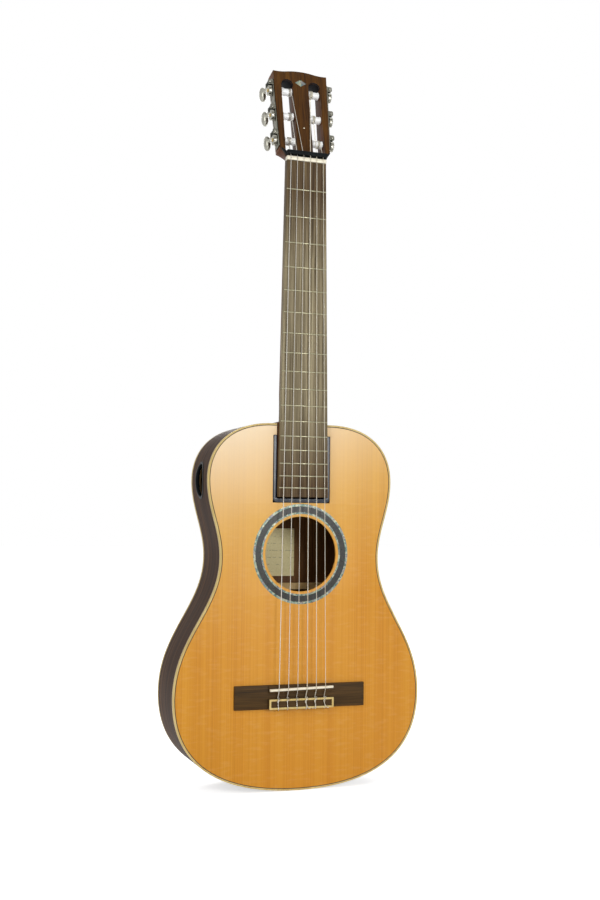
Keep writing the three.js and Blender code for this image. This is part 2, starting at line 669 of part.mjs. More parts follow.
function slotPath(side) {
  const radius = SLOT_WIDTH / 2;
  const path = new THREE.Path();
  path.moveTo(side * SLOT_MIDDLE - radius, SLOT_START);
  path.lineTo(side * SLOT_MIDDLE + radius, SLOT_START);
  path.lineTo(side * SLOT_MIDDLE + radius, SLOT_END - radius);
  path.absarc(side * SLOT_MIDDLE, SLOT_END - radius, radius, 0, Math.PI);
  path.lineTo(side * SLOT_MIDDLE - radius, SLOT_START);
  return path;
}

function headPlate(from, to) {
  const options = { depth: to - from, bevelEnabled: false, curveSegments: 8 };
  const geometry = new THREE.ExtrudeGeometry(headOutline(), options);
  geometry.translate(0, 0, from);
  return solid(geometry);
}

// One side of the head: x outwards from the head's edge, y up along it, z out of the face.
function sideMatrix(side) {
  const foot = at(side * HEAD_BASE_WIDTH / 2, HEAD_SHOULDER, 0);
  const turn = new THREE.Matrix4().makeRotationZ(-side * SIDE_TAPER);
  const mirror = new THREE.Matrix4().makeScale(side, 1, 1);
  return new THREE.Matrix4().makeTranslation(foot.x, foot.y, foot.z).multiply(turn).multiply(mirror);
}

// Tuner i's axis crosses the head's edge this far above the edge's foot.
function tunerHeight(row) {
  return (FIRST_ROLLER + row * ROLLER_SPACING - HEAD_SHOULDER) / Math.cos(SIDE_TAPER);
}

// How far the slot's middle lies inside the head's edge at one roller.
function slotInset(row) {
  const edge = HEAD_BASE_WIDTH / 2 + tunerHeight(row) * Math.sin(SIDE_TAPER);
  return (edge - SLOT_MIDDLE) / Math.cos(SIDE_TAPER);
}

function inSideFrame(body, side) {
  return inHeadFrame(body.transform(sideMatrix(side).toArray()));
}

function tunerParts(row) {
  const height = tunerHeight(row);
  const point = (x, up = 0, depth = 0) => at(x, height + up, depth - ROLLER_DEPTH);
  const wormLow = -ROLLER_DEPTH - WORM_LENGTH / 2;
  const wormHigh = -ROLLER_DEPTH + WORM_LENGTH / 2;
  const keyPoint = (z) => at(GEAR_MIDDLE, height + WORM_OFFSET, z);
  return { height, point, wormLow, wormHigh, keyPoint };
}

function makeRoller(side, row) {
  const { point } = tunerParts(row);
  const middle = -slotInset(row);
  const barrelHalf = SLOT_WIDTH / 2 - 0.9;
  const barrel = rod(point(middle - barrelHalf), point(middle + barrelHalf), ROLLER_RADIUS, 16);
  const shaft = rod(point(middle), point(GEAR_START - FIT), SHAFT_RADIUS, 12);
  const pin = rod(point(middle - barrelHalf - PIN_LENGTH), point(middle), PIN_RADIUS, 10);
  return inSideFrame(union([barrel, shaft, pin]), side);
}

function makeGear(side, row) {
  const { point } = tunerParts(row);
  const disc = rod(point(GEAR_START), point(GEAR_START + GEAR_THICKNESS), GEAR_RADIUS, 22);
  const screwEnd = GEAR_START + GEAR_THICKNESS + GEAR_SCREW_RISE;
  const screw = rod(point(GEAR_START), point(screwEnd), GEAR_SCREW_RADIUS, 12);
  return inSideFrame(union([disc, screw]), side);
}

function makeKey(side, row) {
  const { wormLow, wormHigh, keyPoint, height } = tunerParts(row);
  const worm = rod(keyPoint(wormLow), keyPoint(wormHigh), WORM_RADIUS, 12);
  const tail = wormLow - FIT - LUG_THICKNESS - FIT;
  const shaft = rod(keyPoint(-KEY_REACH), keyPoint(wormHigh + FIT + LUG_THICKNESS + 0.6), KEY_SHAFT_RADIUS, 8);
  const collar = rod(keyPoint(-KEY_REACH + 0.4 * KNOB_DEPTH), keyPoint(tail), KEY_COLLAR_RADIUS, 12);
  const knob = new THREE.SphereGeometry(1, 14, 8);
  knob.scale(KNOB_THICKNESS / 2, KNOB_LENGTH / 2, KNOB_DEPTH / 2);
  knob.translate(GEAR_MIDDLE, height + WORM_OFFSET, -KEY_REACH);
  return inSideFrame(union([worm, shaft, collar, solid(knob)]), side);
}

function makeTunerPlate(side) {
  const low = tunerHeight(0) - TUNER_PLATE_FOOT;
  const high = tunerHeight(2) + WORM_OFFSET + TUNER_PLATE_HEAD;
  const middle = -ROLLER_DEPTH - 1;
  const half = TUNER_PLATE_WIDTH / 2;
  const plate = block(FIT, FIT + TUNER_PLATE, low, high, middle - half, middle + half);
  const lugs = [];
  const holes = [];
  for (const row of [0, 1, 2]) {
    const { point, wormLow, wormHigh, keyPoint } = tunerParts(row);
    const centre = tunerHeight(row) + WORM_OFFSET;
    const outer = GEAR_MIDDLE + LUG_REACH;
    for (const near of [wormHigh + FIT, wormLow - FIT - LUG_THICKNESS]) {
      lugs.push(block(FIT, outer, centre - LUG_WIDTH / 2, centre + LUG_WIDTH / 2, near, near + LUG_THICKNESS));
    }
    holes.push(rod(point(-BEYOND), point(BEYOND), SHAFT_RADIUS + FIT, 12));
    holes.push(rod(keyPoint(wormLow - BEYOND), keyPoint(wormHigh + BEYOND), KEY_SHAFT_RADIUS + FIT, 8));
  }
  return inSideFrame(cut(union([plate, ...lugs]), holes), side);
}

function rollerHoles(side) {
  return [0, 1, 2].flatMap((row) => {
    const { point } = tunerParts(row);
    const middle = -slotInset(row);
    const shaft = rod(point(middle), point(BEYOND), SHAFT_RADIUS + FIT, 12);
    const pinEnd = middle - SLOT_WIDTH / 2 - PIN_LENGTH;
    const pin = rod(point(pinEnd), point(middle), PIN_RADIUS + FIT, 10);
    return [inSideFrame(shaft, side), inSideFrame(pin, side)];
  });
}

// The neck: shaft, heel and tongue in one, with the slotted head.
function boardHalfWidth(z) {
  const share = (z - FRETBOARD_END_Z) / (NUT_Z - FRETBOARD_END_Z);
  return THREE.MathUtils.lerp(FRETBOARD_END_WIDTH / 2, NUT_WIDTH / 2, share);
}

function neckSection(halfWidth, depth) {
  const points = [new THREE.Vector2(-halfWidth, 0), new THREE.Vector2(halfWidth, 0)];
  const curve = new THREE.EllipseCurve(0, 0, halfWidth, depth, 0, Math.PI);
  return [...points, ...curve.getPoints(12).slice(1, -1)];
}

// A section drawn in X and depth, run along Z, then reshaped by what resize gives at each height.
function loft(section, z0, z1, steps, resize) {
  const shape = new THREE.Shape(section);
  const geometry = new THREE.ExtrudeGeometry(shape, { depth: z1 - z0, steps, bevelEnabled: false });
  const places = geometry.attributes.position;
  for (let i = 0; i < places.count; i += 1) {
    const z = z0 + places.getZ(i);
    const [x, depth] = resize(z, places.getX(i), places.getY(i));
    places.setXYZ(i, x, FACE_Y + depth, z);
  }
  return solid(geometry);
}

function makeShaft() {
  const shaftEnd = NUT_Z + NUT_THICKNESS + BEYOND;
  const shaftStart = BODY_LENGTH + 2 * FIT;
  return loft(neckSection(1, NECK_DEPTH), shaftStart, shaftEnd, 6, (z, x, depth) => [
    x * boardHalfWidth(Math.min(z, NUT_Z)), depth,
  ]);
}

function makeHeel() {
  const start = BODY_LENGTH + FIT;
  const top = start + HEEL_LENGTH;
  const section = [[-1, 0], [1, 0], [1, 0.35], [0.75, 0.8], [0.4, 1], [-0.4, 1], [-0.75, 0.8], [-1, 0.35]];
  return loft(section.map(([x, y]) => new THREE.Vector2(x, y)), start, top, 6, (z, x, share) => {
    const rest = 1 - (z - start) / HEEL_LENGTH;
    const depth = NECK_DEPTH * 0.8 + (HEEL_DEPTH - NECK_DEPTH * 0.8) * rest * rest;
    const width = THREE.MathUtils.lerp(boardHalfWidth(z) - 0.6, HEEL_TIP_WIDTH / 2, share * rest);
    return [x * width, share * depth];
  });
}

function makeNeck() {
  const group = new THREE.Group();
  const tongueHalf = TONGUE_WIDTH / 2;
  const tongueBack = FACE_Y + TONGUE_DEPTH;
  const tongue = block(-tongueHalf, tongueHalf, FACE_Y, tongueBack, FRETBOARD_END_Z, BODY_LENGTH + BEYOND);
  const wood = inHeadFrame(headPlate(-HEAD_THICKNESS, -VENEER_THICKNESS - FIT));
  const whole = union([makeShaft(), makeHeel(), tongue, wood]);
  const wide = HEAD_TOP_WIDTH;
  const overFace = inHeadFrame(block(-wide, wide, 0, 2 * wide, -VENEER_THICKNESS - FIT, wide));
  const nutRoom = block(-wide, wide, FACE_Y - wide, FACE_Y, NUT_Z - FIT, NUT_Z + NUT_THICKNESS + FIT);
  const slots = [-1, 1].map((side) => inHeadFrame(slotCutter(side)));
  const holes = [...rollerHoles(-1), ...rollerHoles(1)];
  const carved = cut(whole, [overFace, nutRoom, ...slots, ...holes]);
  const [front, back] = [FACE_Y - 2 * wide, FACE_Y + 2 * wide];
  const aboveSplice = block(-wide, wide, front, back, SPLICE_Z, SPLICE_Z + 2 * HEAD_LENGTH);
  const belowSplice = block(-wide, wide, front, back, 0, SPLICE_Z + FIT);
  group.add(piece("neck", cut(carved, [aboveSplice]), MAHOGANY));
  group.add(piece("headstock", cut(carved, [belowSplice]), MAHOGANY));
  const veneer = inHeadFrame(headPlate(-VENEER_THICKNESS, 0));
  group.add(piece("headstock_veneer", cut(veneer, [nutRoom, ...slots, ...holes]), MAHOGANY));
  group.add(makeFretboard(), makeNut(), makeKeeper());
  return group;
}

function slotCutter(side) {
  const shape = new THREE.Shape(slotPath(side).getPoints(8).slice(0, -1));
  const depth = HEAD_THICKNESS + 2 * BEYOND;
  const geometry = new THREE.ExtrudeGeometry(shape, { depth, bevelEnabled: false });
  geometry.translate(0, 0, -HEAD_THICKNESS - BEYOND);
  return solid(geometry);
}

function makeFretboard() {
  const end = NUT_Z - FIT;
  const outline = [
    [-boardHalfWidth(FRETBOARD_END_Z), FRETBOARD_END_Z], [boardHalfWidth(FRETBOARD_END_Z), FRETBOARD_END_Z],
    [boardHalfWidth(end), end], [-boardHalfWidth(end), end],
  ];
  const front = FACE_Y - FIT - FRETBOARD_THICKNESS;
  const board = slab(outline.map(([x, z]) => new THREE.Vector2(x, z)), front, FACE_Y - FIT);
  const frets = [];
  for (let n = 1; n <= FRETS; n += 1) {
    const z = SADDLE_Z + SCALE_LENGTH / 2 ** (n / 12);
    const half = boardHalfWidth(z) - 0.2;
    frets.push(block(-half, half, front - FRET_HEIGHT, front + 1, z - FRET_WIDTH / 2, z + FRET_WIDTH / 2));
  }
  return piece("fretboard", union([board, ...frets]), DARK_ROSEWOOD);
}

function makeNut() {
  const half = NUT_WIDTH / 2;
  return piece("nut", block(-half, half, NUT_TOP_Y, FACE_Y - FIT, NUT_Z, NUT_Z + NUT_THICKNESS), BONE);
}

// The black bar that keeps the strings down behind the nut. Its feet widen over the head's shoulders.
function makeKeeper() {
  const top = KEEPER_RISE + KEEPER_THICKNESS;
  const inner = STRING_SPREAD_NUT / 2 + KEEPER_POST / 2;
  const outer = inner + KEEPER_POST;
  const edge = HEAD_BASE_WIDTH / 2;
  const bar = FIT + KEEPER_BAR;
  const half = [[0, bar], [inner, bar], [edge, KEEPER_FOOT], [edge, FIT]];
  const left = half.slice(1).map(([x, u]) => [-x, u]).reverse();
  const shape = new THREE.Shape([...left, ...half].map(([x, u]) => new THREE.Vector2(x, u)));
  const geometry = new THREE.ExtrudeGeometry(shape, { depth: top - FIT, bevelEnabled: false });
  geometry.translate(0, 0, FIT);
  const under = block(-inner, inner, -BEYOND, KEEPER_FOOT, -BEYOND, KEEPER_RISE);
  const overFeet = [-1, 1].map((side) => {
    const room = block(outer, HEAD_TOP_WIDTH, -BEYOND, HEAD_LENGTH, KEEPER_FOOT_RISE, top + BEYOND);
    return side < 0 ? room.mirror([1, 0, 0]) : room;
  });
  const body = solid(geometry).intersect(headPlate(0, top));
  return piece("string_keeper", inHeadFrame(cut(body, [under, ...overFeet])), BLACK_GLOSS);
}

function makeTuners() {
  const group = new THREE.Group();
  group.add(piece("tuner_plate_bass", makeTunerPlate(-1), NICKEL));
  group.add(piece("tuner_plate_treble", makeTunerPlate(1), NICKEL));
  ROLLERS.forEach(([side, row], i) => {
    const string = 6 - i;
    group.add(piece(`string_roller_${string}`, makeRoller(side, row), WHITE_PLASTIC));
    group.add(piece(`roller_gear_${string}`, makeGear(side, row), NICKEL));
    group.add(piece(`tuner_key_${string}`, makeKey(side, row), NICKEL));
  });
  return group;
}

const guitar = new THREE.Group();
guitar.add(makeBody(), makeBridge(), makeNeck(), makeTuners(), makeLatchButton());
stringLines().forEach((line, i) => guitar.add(makeString(line, i)));

export default guitar;
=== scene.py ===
"""A small-bodied classical guitar with a detachable neck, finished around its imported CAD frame. Metres."""

from math import atan2, cos, pi, radians, sin

import bpy
import numpy as np
from mathutils import Matrix, Vector
from mathutils.geometry import tessellate_polygon


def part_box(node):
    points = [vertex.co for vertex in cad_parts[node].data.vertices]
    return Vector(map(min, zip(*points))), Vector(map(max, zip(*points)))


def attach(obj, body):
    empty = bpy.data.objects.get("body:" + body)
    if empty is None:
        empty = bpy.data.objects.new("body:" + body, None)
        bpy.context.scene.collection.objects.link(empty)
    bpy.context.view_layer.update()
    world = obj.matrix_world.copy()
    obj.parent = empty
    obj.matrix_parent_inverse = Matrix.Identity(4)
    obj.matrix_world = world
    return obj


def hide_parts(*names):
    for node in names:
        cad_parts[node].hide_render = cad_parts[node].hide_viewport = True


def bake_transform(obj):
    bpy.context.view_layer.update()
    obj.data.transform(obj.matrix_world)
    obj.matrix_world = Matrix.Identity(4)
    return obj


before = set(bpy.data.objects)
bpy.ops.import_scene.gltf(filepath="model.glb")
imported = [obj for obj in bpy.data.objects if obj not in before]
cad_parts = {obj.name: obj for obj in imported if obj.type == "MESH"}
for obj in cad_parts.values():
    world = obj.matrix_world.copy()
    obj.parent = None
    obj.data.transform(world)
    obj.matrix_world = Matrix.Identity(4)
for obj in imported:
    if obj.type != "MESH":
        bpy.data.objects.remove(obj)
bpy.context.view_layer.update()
MM = 0.001


def box(name):
    """The low and high corners of a CAD piece, in millimetres."""
    return [Vector(corner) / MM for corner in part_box(name)]


# What the frame's boxes give.
FACE_Y = box("soundboard")[0].y
BACK_HIGH = box("back_plate")[1]
BINDING_HIGH = box("top_binding")[1]
BOARD_LOW, BOARD_HIGH = box("fretboard")
NUT_LOW, NUT_HIGH = box("nut")
BRIDGE_LOW, BRIDGE_HIGH = box("bridge")
BEZEL_LOW, BEZEL_HIGH = box("pocket_bezel")
TRIM_LOW, TRIM_HIGH = box("tie_block_trim")
SADDLE_LOW, SADDLE_HIGH = box("saddle")
ROSETTE_LOW, ROSETTE_HIGH = box("rosette")

# Sizes shared with the CAD source, in millimetres as the boxes are.
BACK_Y = BACK_HIGH.y
FIT = 0.3
SADDLE_Z = 123
SADDLE_SLANT = 2
NUT_Z = NUT_LOW.z
SCALE_LENGTH = NUT_Z - SADDLE_Z
LOWER_BOUT_Z = 114
WAIST = 204.6
WAIST_Z = 281
UPPER_BOUT = 238.4
UPPER_BOUT_Z = 376
TOP_FLAT = 76
PORT_Z = 375
PORT_LENGTH = 44
PORT_WIDTH = 36
HOLE_Z = (ROSETTE_LOW.z + ROSETTE_HIGH.z) / 2
HOLE_RADIUS = 45.8
FRETS = 17
FRET_RISE = 0.9
FRET_HALF_WIDTH = 0.75
HEAD_TILT = radians(13)
HEAD_LENGTH = 120
HEAD_CROWN = 2.6
HEAD_TOP_WIDTH = 71.8
HEAD_BASE_WIDTH = 65.6
HEAD_SHOULDER = 11
HEAD_THICKNESS = 20
VENEER = 3
SLOT_WIDTH = 15.8
SLOT_MIDDLE = 18.1
SLOT_START = 7
SLOT_END = 109.5
FIRST_ROLLER = 24.3
ROLLER_SPACING = 35
ROLLER_DEPTH = 7
ROLLER_RADIUS = 5
GEAR_RADIUS = 6.5
GEAR_MIDDLE = 4.9
GEAR_THICKNESS = 4
GEAR_TEETH = 14
TOOTH_HEIGHT = 1.1
WORM_RADIUS = 2.9
WORM_HALF = 4
THREAD_PITCH = 2.4
THREAD_DEPTH = 1.0
WORM_OFFSET = GEAR_RADIUS + WORM_RADIUS + FIT
KEY_REACH = 33
BUTTON_HALF = Vector((4.2, 10, 6.5))
TUNERS = [(-1, 0), (-1, 1), (-1, 2), (1, 2), (1, 1), (1, 0)]
WRAPS = [11.1, 4.5, 2.7, 2.7, 4.5, 11.1]
STRING_RADII = [0.545, 0.445, 0.37, 0.51, 0.405, 0.355]
SPREAD_NUT = 42.5
SPREAD_SADDLE = 59.7


# ---------------- node trees
class Nodes:
    """A node tree with short ways to add and join its nodes."""

    def __init__(self, tree):
        self.tree = tree
        tree.nodes.clear()

    def add(self, kind, sockets=None, **settings):
        """A new shader node with its constants and settings."""
        node = self.tree.nodes.new("ShaderNode" + kind)
        for key, value in settings.items():
            setattr(node, key, value)
        for key, value in (sockets or {}).items():
            node.inputs[key].default_value = value
        return node

    def join(self, start, end):
        self.tree.links.new(start, end)

    def math(self, operation, *values):
        node = self.add("Math", operation=operation)
        for socket, value in zip(node.inputs, values):
            if isinstance(value, (int, float)):
                socket.default_value = value
            else:
                self.join(value, socket)
        return node.outputs[0]

    def backdrop_rays(self):
        """1 for the rays that show the white backdrop, 0 for those that gather light from it."""
        path = self.add("LightPath")
        direct = self.math("MAXIMUM", path.outputs["Is Camera Ray"], path.outputs["Is Transmission Ray"])
        return self.math("MAXIMUM", direct, path.outputs["Is Glossy Ray"])


# ---------------- camera, light and stage (metres)
CAMERA_AT = (-0.4926, -1.4352, 0.3281)
CAMERA_FORWARD = Vector((0.33095, 0.94188, 0.05767)).normalized()
CAMERA_UP = Vector((-0.0287, -0.0511, 0.9983))
CAMERA_LENS = 48.03
# Name, place, aim, diameter and watts.
LAMPS = [("key", (0.55, -2.1, 0.75), (0, 0, 0.4), 0.7, 19), ("left", (-1.7, -1.2, 1.3), (0, 0, 0.5), 1.4, 14),
         ("back", (0.7, 1.9, 1.5), (0, 0, 0.5), 1.4, 20)]
WHITE = (1, 1, 1, 1)
WORLD_TINT = (0.95, 0.97, 1.0, 1)
WORLD_LIGHT = 0.43
FLOOR_HALF = 12.0
FLOOR_DROP = 0.5 * MM
FLOOR_GLOW = 0.64


def added(name, data):
    """A new object in the scene."""
    thing = bpy.data.objects.new(name, data)
    bpy.context.scene.collection.objects.link(thing)
    return thing


def make_camera():
    data = bpy.data.cameras.new("camera")
    data.lens = CAMERA_LENS
    camera = added("camera", data)
    right = CAMERA_FORWARD.cross(CAMERA_UP).normalized()
    up = right.cross(CAMERA_FORWARD)
    turn = Matrix((right, up, -CAMERA_FORWARD)).transposed().to_4x4()
    camera.matrix_world = Matrix.Translation(CAMERA_AT) @ turn
    bpy.context.scene.camera = camera


def make_lamp(name, at, aim, size, power):
    data = bpy.data.lights.new(name, "AREA")
    data.shape = "DISK"
    data.size = size
    data.energy = power
    lamp = added(name, data)
    lamp.location = at
    lamp.rotation_euler = (Vector(aim) - Vector(at)).to_track_quat("-Z", "Y").to_euler()


def make_world():
    world = bpy.data.worlds.new("studio")
    bpy.context.scene.world = world
    world.use_nodes = True
    nodes = Nodes(world.node_tree)
    light = nodes.add("Background", {"Color": WORLD_TINT, "Strength": WORLD_LIGHT})
    seen = nodes.add("Background", {"Color": WHITE})
    mix = nodes.add("MixShader")
    for socket, value in zip(mix.inputs, (nodes.backdrop_rays(), light.outputs[0], seen.outputs[0])):
        nodes.join(value, socket)
    nodes.join(mix.outputs[0], nodes.add("OutputWorld").inputs[0])


def make_floor():
    mesh = bpy.data.meshes.new("floor")
    corners = [(x * FLOOR_HALF, y * FLOOR_HALF, -FLOOR_DROP) for x, y in ((-1, -1), (1, -1), (1, 1), (-1, 1))]
    mesh.from_pydata(corners, [], [(0, 1, 2, 3)])
    floor = added("floor", mesh)
    look = Look("floor_paper", roughness=0.9)
    look.paint(look.noise((6, 6, 6), 3), [(0.3, "f0f0f0"), (0.7, "f8f8f8")])
    look.shader.inputs["Emission Color"].default_value = WHITE
    look.join(look.math("MULTIPLY", look.backdrop_rays(), FLOOR_GLOW),
              look.shader.inputs["Emission Strength"])
    mesh.materials.append(look.material)


# ---------------- materials (metres)
def colour_of(text):
    channels = [int(text[i:i + 2], 16) / 255 for i in (0, 2, 4)]
    return [c / 12.92 if c <= 0.04045 else ((c + 0.055) / 1.055) ** 2.4 for c in channels] + [1]


def tones(colours, places=(0.28, 0.44, 0.58, 0.75)):
    """The stops of a colour ramp."""
    return list(zip(places, colours.split()))


class Look(Nodes):
    """One procedural material. Its patterns follow the row frame's own coordinates."""

    def __init__(self, name, roughness=0.5, metallic=0.0, coat=0.0, coat_roughness=0.1, ior=1.5,
                 specular=0.5):
        self.material = bpy.data.materials.new(name)
        self.material.use_nodes = True
        super().__init__(self.material.node_tree)
        self.shader = self.add("BsdfPrincipled",
            {"Roughness": roughness, "Metallic": metallic, "Coat Weight": coat,
             "Coat Roughness": coat_roughness, "IOR": ior, "Specular IOR Level": specular})
        self.join(self.shader.outputs[0], self.add("OutputMaterial").inputs[0])
        self.places = self.add("TexCoord").outputs["Object"]

    def axes(self):
        split = self.add("SeparateXYZ")
        self.join(self.places, split.inputs[0])
        return split.outputs

    def weighed(self, a, share, b, other_share):
        return self.math("ADD", self.math("MULTIPLY", a, share), self.math("MULTIPLY", b, other_share))

    def stretched(self, scale, mirrored=False):
        places = self.places
        if mirrored:
            x, y, z = self.axes()
            whole = self.add("CombineXYZ")
            for value, socket in zip((self.math("ABSOLUTE", x), y, z), whole.inputs):
                self.join(value, socket)
            places = whole.outputs[0]
        node = self.add("Mapping", {"Scale": scale})
        self.join(places, node.inputs["Vector"])
        return node.outputs[0]

    def noise(self, scale, detail=4, rough=0.55, distortion=0.0, mirrored=False):
        node = self.add("TexNoise",
                        {"Scale": 1, "Detail": detail, "Roughness": rough, "Distortion": distortion})
        self.join(self.stretched(scale, mirrored), node.inputs["Vector"])
        return node.outputs[0]

    def cells(self, scale):
        node = self.add("TexVoronoi", {"Scale": 1}, feature="F1")
        self.join(self.stretched(scale), node.inputs["Vector"])
        return node

    def ramp(self, fac, stops):
        node = self.add("ValToRGB")
        ramp = node.color_ramp
        while len(ramp.elements) < len(stops):
            ramp.elements.new(0.5)
        for element, (place, text) in zip(ramp.elements, stops):
            element.position = place
            element.color = colour_of(text)
        self.join(fac, node.inputs[0])
        return node.outputs[0]

    def levels(self, fac, low, high, start=0.0, end=1.0):
        node = self.add("MapRange", {"From Min": low, "From Max": high, "To Min": start, "To Max": end})
        self.join(fac, node.inputs["Value"])
        return node.outputs[0]

    def mix(self, fac, a, b):
        """Colours a and b mixed by fac. Each is an output or a hex text."""
        node = self.add("Mix", data_type="RGBA", blend_type="MIX")
        for socket, value in ((node.inputs[0], fac), (node.inputs[6], a), (node.inputs[7], b)):
            if isinstance(value, str):
                socket.default_value = colour_of(value)
            else:
                self.join(value, socket)
        return node.outputs[2]

    def paint(self, fac, stops):
        return self.colour(self.ramp(fac, stops))

    def colour(self, output):
        self.join(output, self.shader.inputs["Base Color"])
        return self

    def roughness(self, output):
        self.join(output, self.shader.inputs["Roughness"])
        return self

    def bump(self, height, depth):
        node = self.add("Bump", {"Strength": 1, "Distance": depth})
        self.join(height, node.inputs["Height"])
        self.join(node.outputs[0], self.shader.inputs["Normal"])
        return self


def wood(name, stops, streaks, fine, pores, roughness=(0.35, 0.5), coat=0.0, mirrored=False, specular=0.12):
    """Wood with broad streaks, fine grain and pores, each stretched along the grain."""
    look = Look(name, coat=coat, coat_roughness=0.18, specular=specular)
    broad = look.noise(streaks, 5, 0.6, 0.6, mirrored=mirrored)
    lines = look.noise(fine, 3, 0.5, 0.2, mirrored=mirrored)
    holes = look.noise(pores, 2, 0.5, mirrored=mirrored)
    level = look.weighed(broad, 0.62, lines, 0.38)
    base = look.ramp(level, stops)
    dark = look.levels(holes, 0.62, 0.74, 0, 0.45)
    look.colour(look.mix(dark, base, stops[0][1]))
    look.roughness(look.levels(lines, 0.3, 0.7, *roughness))
    return look.bump(look.math("SUBTRACT", lines, dark), 0.04 * MM).material


def cedar():
    look = Look("cedar_top", coat=0.03, coat_roughness=0.3, specular=0.2)
    rings = look.noise((620, 20, 1.2), 2, 0.6, 0.0, mirrored=True)
    bands = look.noise((60, 5, 0.8), 3, 0.5, 0.2, mirrored=True)
    silk = look.noise((60, 20, 260), 2, 0.5, mirrored=True)
    patches = look.noise((7, 9, 4), 2, 0.5)
    level = look.weighed(rings, 0.55, bands, 0.45)
    base = look.ramp(level, tones("b5711d c78424 cf8e2a d79a34", (0.28, 0.42, 0.54, 0.74)))
    # Painted sheen: the top is painted paler and yellower towards its upper left, where the light falls on
    # it.
    x, _, z = look.axes()
    across = look.math("MULTIPLY", x, -0.35)
    sheen_share = look.math("POWER", look.levels(look.math("ADD", z, across), 0.2, 0.46), 1.2)
    toned = look.mix(look.levels(patches, 0.35, 0.7, 0, 0.2), base, "c6822a")
    sheen_colour = look.ramp(sheen_share, [(0.0, "e2b358"), (0.5, "e9c57c"), (1.0, "f2dfbe")])
    sheened = look.mix(look.math("MULTIPLY", sheen_share, 0.82), toned, sheen_colour)
    look.colour(look.mix(look.levels(silk, 0.5, 0.78, 0, 0.1), sheened, "eac58c"))
    look.roughness(look.levels(rings, 0.3, 0.7, 0.38, 0.5))
    return look.bump(rings, 0.02 * MM).material


def abalone():
    look = Look("abalone_inlay", roughness=0.22, coat=1.0, coat_roughness=0.05)
    chips = look.cells((330, 200, 330))
    veins = look.noise((900, 300, 900), 4, 0.7, 1.6)
    tint = look.add("SeparateColor")
    look.join(chips.outputs["Color"], tint.inputs[0])
    shade = look.weighed(tint.outputs[0], 0.55, veins, 0.5)
    stops = [(0.2, "1e2b26"), (0.36, "4d7266"), (0.46, "a8ad8b"), (0.56, "6c5f6b"), (0.68, "457367"),
             (0.84, "c2bd9c")]
    look.paint(shade, stops)
    look.shader.inputs["Metallic"].default_value = 0.15
    return look.bump(veins, 0.02 * MM).material


def dark_band():
    look = Look("rosette_band", coat=0.1, coat_roughness=0.2, specular=0.3)
    look.paint(look.noise((420, 60, 420), 4, 0.7), [(0.35, "11120e"), (0.6, "1e1f19"), (0.8, "33342b")])
    return look.roughness(look.levels(look.noise((200, 200, 200), 2), 0.3, 0.7, 0.25, 0.4)).material


def plain(name, low, high, roughness, coat=0.0, metallic=0.0, grain=400.0, bump=0.01 * MM, specular=0.4):
    """A smooth material with faint mottling, handling marks and a slight unevenness."""
    look = Look(name, metallic=metallic, coat=coat, coat_roughness=0.2, specular=specular)
    mottle = look.noise((grain, grain, grain), 4, 0.6)
    smears = look.noise((45, 45, 60), 3, 0.6, 0.8)
    look.paint(mottle, [(0.3, low), (0.7, high)])
    look.roughness(look.levels(smears, 0.3, 0.75, *roughness))
    return look.bump(mottle, bump).material


def paper():
    look = Look("label_paper", roughness=0.85)
    fibres = look.noise((500, 500, 500), 4, 0.6)
    _, _, z = look.axes()
    rule = look.math("PINGPONG", z, 4.5 * MM)
    ink = look.math("LESS_THAN", rule, 0.35 * MM)
    broken = look.math("GREATER_THAN", look.noise((260, 10, 90), 1), 0.52)
    marks = look.math("MULTIPLY", look.math("MULTIPLY", ink, broken), 0.55)
    look.colour(look.mix(marks, look.ramp(fibres, [(0.3, "dccf98"), (0.7, "e9deb0")]), "7d7356"))
    return look.bump(fibres, 0.02 * MM).material


def wound():
    look = Look("wound_string", roughness=0.3, metallic=0.9)
    turns = look.add("TexWave", {"Scale": 1}, wave_type="BANDS", bands_direction="Z")
    look.join(look.stretched((900, 900, 900)), turns.inputs["Vector"])
    look.paint(turns.outputs["Fac"], [(0.2, "8e8980"), (0.8, "e2ded4")])
    return look.bump(turns.outputs["Fac"], 0.05 * MM).material


def nylon():
    look = Look("nylon_string", roughness=0.4, ior=1.53)
    look.shader.inputs["Transmission Weight"].default_value = 0.45
    look.paint(look.noise((200, 200, 40), 2), [(0.3, "e4ddc8"), (0.7, "f4efe2")])
    return look.material


def fingerboard():
    """Dark rosewood with a painted sheen: paler along the middle of the board, darker towards the body end
    and the nut.
    """
    look = Look("dark_rosewood", specular=0.12)
    streaks = look.noise((360, 60, 5), 5, 0.62, 0.4)
    lines = look.noise((1700, 100, 18), 3, 0.5)
    level = look.weighed(streaks, 0.6, lines, 0.4)
    board_tones = look.ramp(level, tones("20150c 41301f 614e35 86734f", (0.32, 0.44, 0.56, 0.7)))
    # Painted sheen: paler copies of the board's tones, mixed in along the board's middle where the light
    # falls.
    sheen_tones = look.ramp(level, tones("453a28 756a51 998d70 bab092", (0.32, 0.44, 0.56, 0.7)))
    _, _, z = look.axes()
    from_end = look.levels(z, (BOARD_LOW.z + 15) * MM, (BOARD_LOW.z + 110) * MM, 0, 0.85)
    from_nut = look.levels(z, (NUT_Z - 130) * MM, (NUT_Z - 40) * MM, 1, 0.1)
    look.colour(look.mix(look.math("MULTIPLY", from_end, from_nut), board_tones, sheen_tones))
    look.roughness(look.levels(lines, 0.3, 0.7, 0.42, 0.6))
    return look.bump(lines, 0.04 * MM).material


